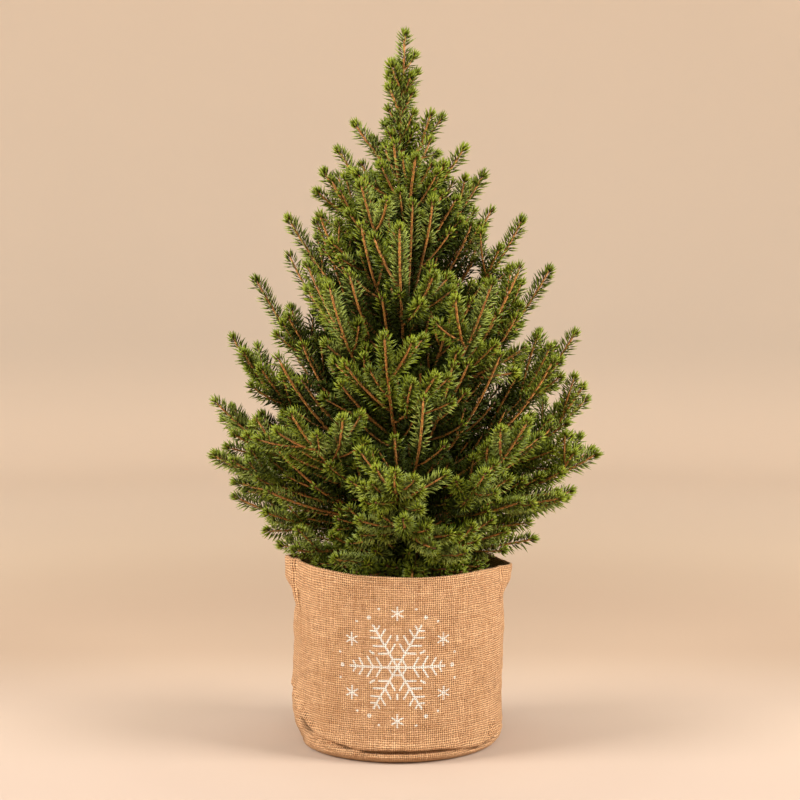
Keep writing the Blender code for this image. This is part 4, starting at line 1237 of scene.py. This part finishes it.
def cloth_offset(angles, heights, outside):
    """How far the side of the sack stands out from its smooth profile, in metres: the sum of
    waves, ears, seams and folds."""
    spots = np.stack([np.cos(angles) * SACK_RADIUS, np.sin(angles) * SACK_RADIUS, heights], axis=-1)
    upper = np.clip((heights - 0.128) / 0.022, 0.0, 1.0)
    out = sum(height * swell(spots, pitch, seed) for height, pitch, seed in WAVES)
    out += sum(ear(angles, heights, *shape) for shape in EARS)
    for centre, height, width, depth, proud in BULGES:
        out += proud * bell(around(angles, centre), width) * bell(heights - height, depth)
    for centre, width, proud in UPRIGHT_FOLDS:
        out += proud * bell(around(angles, centre), width) * upper
    out += sum(0.0012 * bell(around(angles, centre), 0.0026) for centre in SEAMS)
    out += bottom_fold(angles, heights)
    out += sum(crease(angles, heights, *shape) for shape in CREASES)
    held_out = -0.0006 - 0.011 * np.clip((POT_LEVEL - heights) / 0.012, 0.0, 1.0)
    return np.maximum(out, held_out) * outside


# %% [markdown]
# The folds move the points of the profile's rings in or out, and the rim is lifted a little
# at the left ear. How far a point has sunk is kept, because the cloth is darkened by it as
# painted shade in the deep folds.

# %% Closed surface of the sack
def sack_points(sides=400):
    """The rings of the sack with all its folds, the distance up the cloth of each ring, and
    how far each point has sunk into a fold."""
    profile = sack_profile()
    rings = turned_rings(profile, sides)
    angles = np.broadcast_to(2 * math.pi * np.arange(sides) / sides, rings.shape[:2])
    heights = rings[..., 2]
    radii = np.hypot(rings[..., 0], rings[..., 1])
    outside = np.clip((radii - 0.080) / 0.018, 0.0, 1.0)
    settled = np.clip(heights / 0.006, 0.0, 1.0)
    moved = cloth_offset(angles, heights, outside * settled)
    radii = radii + moved
    rise = np.clip((heights - (SACK_HEIGHT - EAR_DEPTH)) / EAR_DEPTH, 0.0, 1.0) ** 1.6
    lift = 0.006 * bell(around(angles, 198), 0.068) - 0.003 * bell(around(angles, 0), 0.030)
    circle = np.stack([np.cos(angles), np.sin(angles), 0 * angles], axis=-1)
    heights = heights + rise * (lift + 0.0006 * swell(circle * SACK_RADIUS, 0.05, 54))
    spots = circle * radii[..., None] + heights[..., None] * np.array([0.0, 0.0, 1.0])
    along = walked(profile)
    return spots, along - along[SIDE_RING] + profile[SIDE_RING, 1], np.clip(-moved, 0.0, None)


def sack_mesh():
    """The closed sack. The flat coordinates are metres of cloth: round and up on the side,
    left and right on the bottom, with a jump at the bottom seam."""
    rings, along, sunk = sack_points()
    count, sides = rings.shape[:2]
    points, faces = closed_tubes(rings[None])
    row = np.minimum(faces // sides, count - 1)
    column = np.where(faces < count * sides, faces % sides, 0)
    wraps = (column.max(axis=1, keepdims=True) == sides - 1) & (column == 0) & (faces < count * sides)
    round_it = (column + np.where(wraps, sides, 0)) / sides * 2 * math.pi * SACK_RADIUS
    side_uv = np.stack([round_it, along[row]], axis=-1)
    on_bottom = (row.max(axis=1) <= BOTTOM_RINGS)[:, None, None]
    uv = np.where(on_bottom, points[faces][..., :2], side_uv)
    mesh = mesh_of("jute_bag", points, faces, uv)
    mark(mesh, "sunk", np.concatenate([sunk.ravel(), [0.0, 0.0]]))
    return mesh


# %% [markdown]
# ## Woven jute
# Plain weave is two sets of yarns that pass over and under each other by turns. Each set is a
# row of rounded ridges, a sine across the yarn, that rises and sinks along it by a sine of
# half the pace. The higher of the two shows. Where both are low there is a dark hole. Jute
# yarn is uneven, so the grid is pushed about by noise, and each yarn has its own shade.

# %% Weave
YARN = 0.0021
jute = Paint("woven_jute", 0.92, 0.2)
round_it, up_it, _ = jute.parts(jute.node("ShaderNodeUVMap", {"uv_map": "cloth"}, {}))
wobble = jute.noise(0.010, 2.0) - 0.5
jitter = jute.noise(0.0045, 2.0) - 0.5
warp_at = round_it / YARN + wobble * 0.9 + jitter * 0.5
weft_at = up_it / YARN - wobble * 0.8 + jitter * 0.6
warp_number, weft_number = warp_at.floor(), weft_at.floor()
warp_ridge = abs((warp_at * math.pi).sine()) ** 0.7
weft_ridge = abs((weft_at * math.pi).sine()) ** 0.7
warp_top = warp_ridge * (((weft_at + warp_number) * math.pi).sine() * 0.30 + 0.70)
weft_top = weft_ridge * (0.70 - ((warp_at + weft_number) * math.pi).sine() * 0.30)
weave = warp_top.most(weft_top)
hole = 1 - weave.rise(0.42, 0.70)


# %% [markdown]
# ## The white print
# The front carries a plain winter pattern in white ink: one large six-armed snow crystal in a
# ring of small ones and dots. A crystal looks the same in each sixth and in its mirror, so the
# surface is folded like a paper one: the angle is brought into half a sixth, and a few strokes
# drawn there appear twelve times. Each stroke is the distance to a straight line. The ink sits
# on the yarns and is missing in the holes.

# %% Print
PRINT_X, PRINT_Z = -0.0005, 0.0945
SMALL_AT, SMALL_ARM = 0.0515, 0.006  # place and arm of the small crystals


def stroke(x, y, start, end, half_width):
    """Distance in metres outside a straight stroke with round ends, below 0 inside it."""
    run = (end[0] - start[0], end[1] - start[1])
    square = run[0] ** 2 + run[1] ** 2
    dx, dy = x - start[0], y - start[1]
    along = (dx * (run[0] / square) + dy * (run[1] / square)).most(0.0).least(1.0)
    aside, beside = dx - along * run[0], dy - along * run[1]
    return (aside * aside + beside * beside) ** 0.5 - half_width


x = round_it - (1.5 * math.pi * SACK_RADIUS + PRINT_X)
y = up_it - PRINT_Z
distance = (x * x + y * y) ** 0.5
angle = y.angle_over(x)
sixth = math.pi / 3
folded = abs(angle - (angle / sixth + 0.5).floor() * sixth)
fold_x, fold_y = distance * folded.cosine(), distance * folded.sine()


def slanted(reach):
    """A place on the fold's far edge, halfway between two arms."""
    return reach * math.cos(sixth / 2), reach * math.sin(sixth / 2)


small = slanted(SMALL_AT)
# Start, end and half width of each stroke: one arm with its side spikes, the small crystal
# and the dots.
STROKES = (
    ((0.0000, 0.0000), (0.0460, 0.0000), 0.00105),
    ((0.0090, 0.0000), (0.00675, 0.0039), 0.00090),
    ((0.0150, 0.0000), (0.0200, 0.0087), 0.00095),
    ((0.0235, 0.0000), (0.0290, 0.0095), 0.00095),
    ((0.0325, 0.0000), (0.0370, 0.0078), 0.00090),
    ((0.0400, 0.0000), (0.0428, 0.0048), 0.00085),
    (slanted(0.0260), slanted(0.0300), 0.00110),
    (slanted(SMALL_AT - SMALL_ARM), slanted(SMALL_AT + SMALL_ARM), 0.00080),
    (small, (small[0], small[1] - SMALL_ARM), 0.00080),
    (small, (small[0] + 0.0052, small[1] - 0.0030), 0.00080),
    ((0.0545, 0.0000), (0.0546, 0.0000), 0.00200),
    ((0.0570, 0.0125), (0.0571, 0.0125), 0.00120),
)
ink_edge, *others = [stroke(fold_x, fold_y, *shape) for shape in STROKES]
for edge in others:
    ink_edge = ink_edge.least(edge)
ragged = jute.noise(0.0013, 3.0) - 0.5
on_front = jute.parts(jute.place)[1].rise(-0.02, -0.03)
inked = 1 - (ink_edge + ragged * 0.0009).rise(-0.00025, 0.00025)
ink = inked * weave.rise(0.40, 0.60) * on_front

# %% Jute colours
def yarn_shades(*numbers):
    """A shade for each yarn that changes slowly along it."""
    return jute.noise(1.0, 2.0, jute.node("ShaderNodeCombineXYZ", {}, numbers))


fuzz = jute.noise(0.0007, 3.0)
slub = jute.noise(0.0038, 2.0)
warp_shade = yarn_shades(warp_number * 0.73, weft_at * 0.06, 3.0)
weft_shade = yarn_shades(warp_at * 0.06, weft_number * 0.73, 7.0)
on_warp = (warp_top - weft_top).rise(-0.05, 0.05)
yarn_shade = warp_shade * on_warp + weft_shade * (1 - on_warp)
fibre_shade = (yarn_shade * 0.6 + slub * 0.25 + fuzz * 0.35).rise(0.36, 0.84)
yarn = jute.blend(fibre_shade, (0.440, 0.218, 0.098), (0.900, 0.578, 0.328))
stain = jute.noise(0.045, 3.0)
yarn = jute.blend(stain.rise(0.45, 0.75, 0.0, 0.35), yarn, (0.53, 0.29, 0.13))
wide_gap = hole * jute.noise(0.006, 2.0).rise(0.50, 0.66)
cloth_colour = jute.blend(hole * 0.90, yarn, (0.110, 0.047, 0.017))
cloth_colour = jute.blend(wide_gap, cloth_colour, (0.045, 0.020, 0.008))
# Painted shade in the deep folds: the further the cloth has sunk, the darker it is.
fold_shade = jute.marked("sunk").rise(0.0012, 0.0060, 0.0, 0.74)
cloth_colour = jute.blend(fold_shade, cloth_colour, (0.080, 0.036, 0.014))
jute.colour(jute.blend(ink, cloth_colour, (0.83, 0.80, 0.74)))
jute.bump(weave + slub * 0.9 + fuzz * 0.3, 0.0018, 0.9)
piece("jute_bag", sack_mesh(), jute, ["jute_sack"])


# %% [markdown]
# ## Floor, backdrop and light
# The plant stands in a wide pale bowl: a flat floor that turns up into a wall and closes
# overhead, so that every view sees the same warm paper. Its colour carries painted light and
# shade: a painted shadow darkens it round the plant, painted shade darkens it in front and
# further behind, painted light brightens it right round the sack, and a painted highlight
# makes it paler in the bend, where the light falls off. Its ceiling is dark, because light
# from all over would wash out the shade among the needles. Two large soft lamps stand to the
# left and right, and weaker ones in front and above.

# %% Bowl
def bowl_mesh(reach=3.4, bend=1.2, top=3.6):
    """Rings of a floor, a quarter-circle bend and a wall that closes to a dome."""
    turn = np.linspace(0.0, math.pi / 2, 20)
    floor = [(radius, 0.0) for radius in np.linspace(0.001, reach - bend, 14)]
    corner = [(reach - bend + bend * math.sin(a), bend * (1 - math.cos(a))) for a in turn[1:]]
    dome = [(reach * math.cos(a), bend + (top - bend) * math.sin(a)) for a in turn[1:-1]]
    rings = turned_rings(floor + corner + dome, 96)
    points, faces = closed_tubes(rings[None])
    return mesh_of("studio_bowl", points, faces[:, ::-1])


paper = Paint("backdrop_paper", 0.95, 0.1)
mottle = paper.noise(0.6, 2.0)
along_x, along_y, up = paper.parts(paper.place)
from_plant = (along_x * along_x + along_y * along_y) ** 0.5
wall_colour = paper.blend(mottle, (0.684, 0.576, 0.472), (0.712, 0.602, 0.493))
# Painted shadow of the plant: the floor is darker within about a quarter metre of it.
behind_shadow_colour = paper.blend(from_plant.rise(0.22, 0.46), (0.515, 0.409, 0.328), (0.612, 0.487, 0.392))
# Painted shade: the floor is darker in front of the plant.
near_light_and_shade = paper.blend(along_y.rise(-0.20, 0.10), (0.492, 0.390, 0.322), behind_shadow_colour)
# Painted light: the floor is paler right round the sack, lightening its shadow.
near_light_and_shade = paper.blend(from_plant.rise(0.13, 0.28), (0.562, 0.450, 0.370), near_light_and_shade)
# Painted shade: the floor is darker further behind the plant.
floor_light_and_shade = paper.blend(along_y.rise(0.08, 0.46), near_light_and_shade, (0.475, 0.355, 0.262))
floor_light_and_shade = paper.blend(from_plant.rise(0.7, 1.4), floor_light_and_shade, (0.600, 0.470, 0.350))
# Painted highlight: the paper is paler low in the bend, where the light falls off.
bend_painted_light = paper.blend(up.rise(0.0, 0.26), (0.862, 0.710, 0.569), wall_colour)
paper_colour = paper.blend(from_plant.rise(1.0, 2.3), floor_light_and_shade, bend_painted_light)
paper.colour(paper.blend(up.rise(1.5, 2.2), paper_colour, (0.080, 0.070, 0.060)))
bowl = bpy.data.objects.new("studio_bowl", bowl_mesh())
bowl.data.materials.append(paper.material)
bpy.context.scene.collection.objects.link(bowl)


# %% Lamps
LAMP_SIZE, LAMP_COLOUR = 1.2, (1.0, 0.96, 0.90)
# Lamp: where it is, what it looks at, and its power in watts.
LAMPS = (
    ("left", (-2.1, -0.8, 1.3), (0.0, 0.0, 0.35), 82.0),
    ("right", (2.1, -0.8, 1.3), (0.0, 0.0, 0.35), 86.0),
    ("front", (0.0, -2.4, 1.9), (0.0, 0.0, 0.35), 15.0),
    ("overhead", (0.0, 0.2, 2.4), (0.0, 0.0, 0.0), 26.0),
)
for name, place, aim, power in LAMPS:
    data = bpy.data.lights.new(name, "AREA")
    data.size, data.energy, data.color = LAMP_SIZE, power, LAMP_COLOUR
    lamp = bpy.data.objects.new(name, data)
    lamp.location = place
    x, y, z = np.array(aim) - np.array(place)
    lamp.rotation_euler = Euler((math.atan2(math.hypot(x, y), -z), 0.0, math.atan2(y, x) - math.pi / 2))
    lamp.visible_camera = False
    bpy.context.scene.collection.objects.link(lamp)

world = bpy.data.worlds.new("room")
world.use_nodes = True
world.node_tree.nodes["Background"].inputs["Strength"].default_value = 0.0
bpy.context.scene.world = world
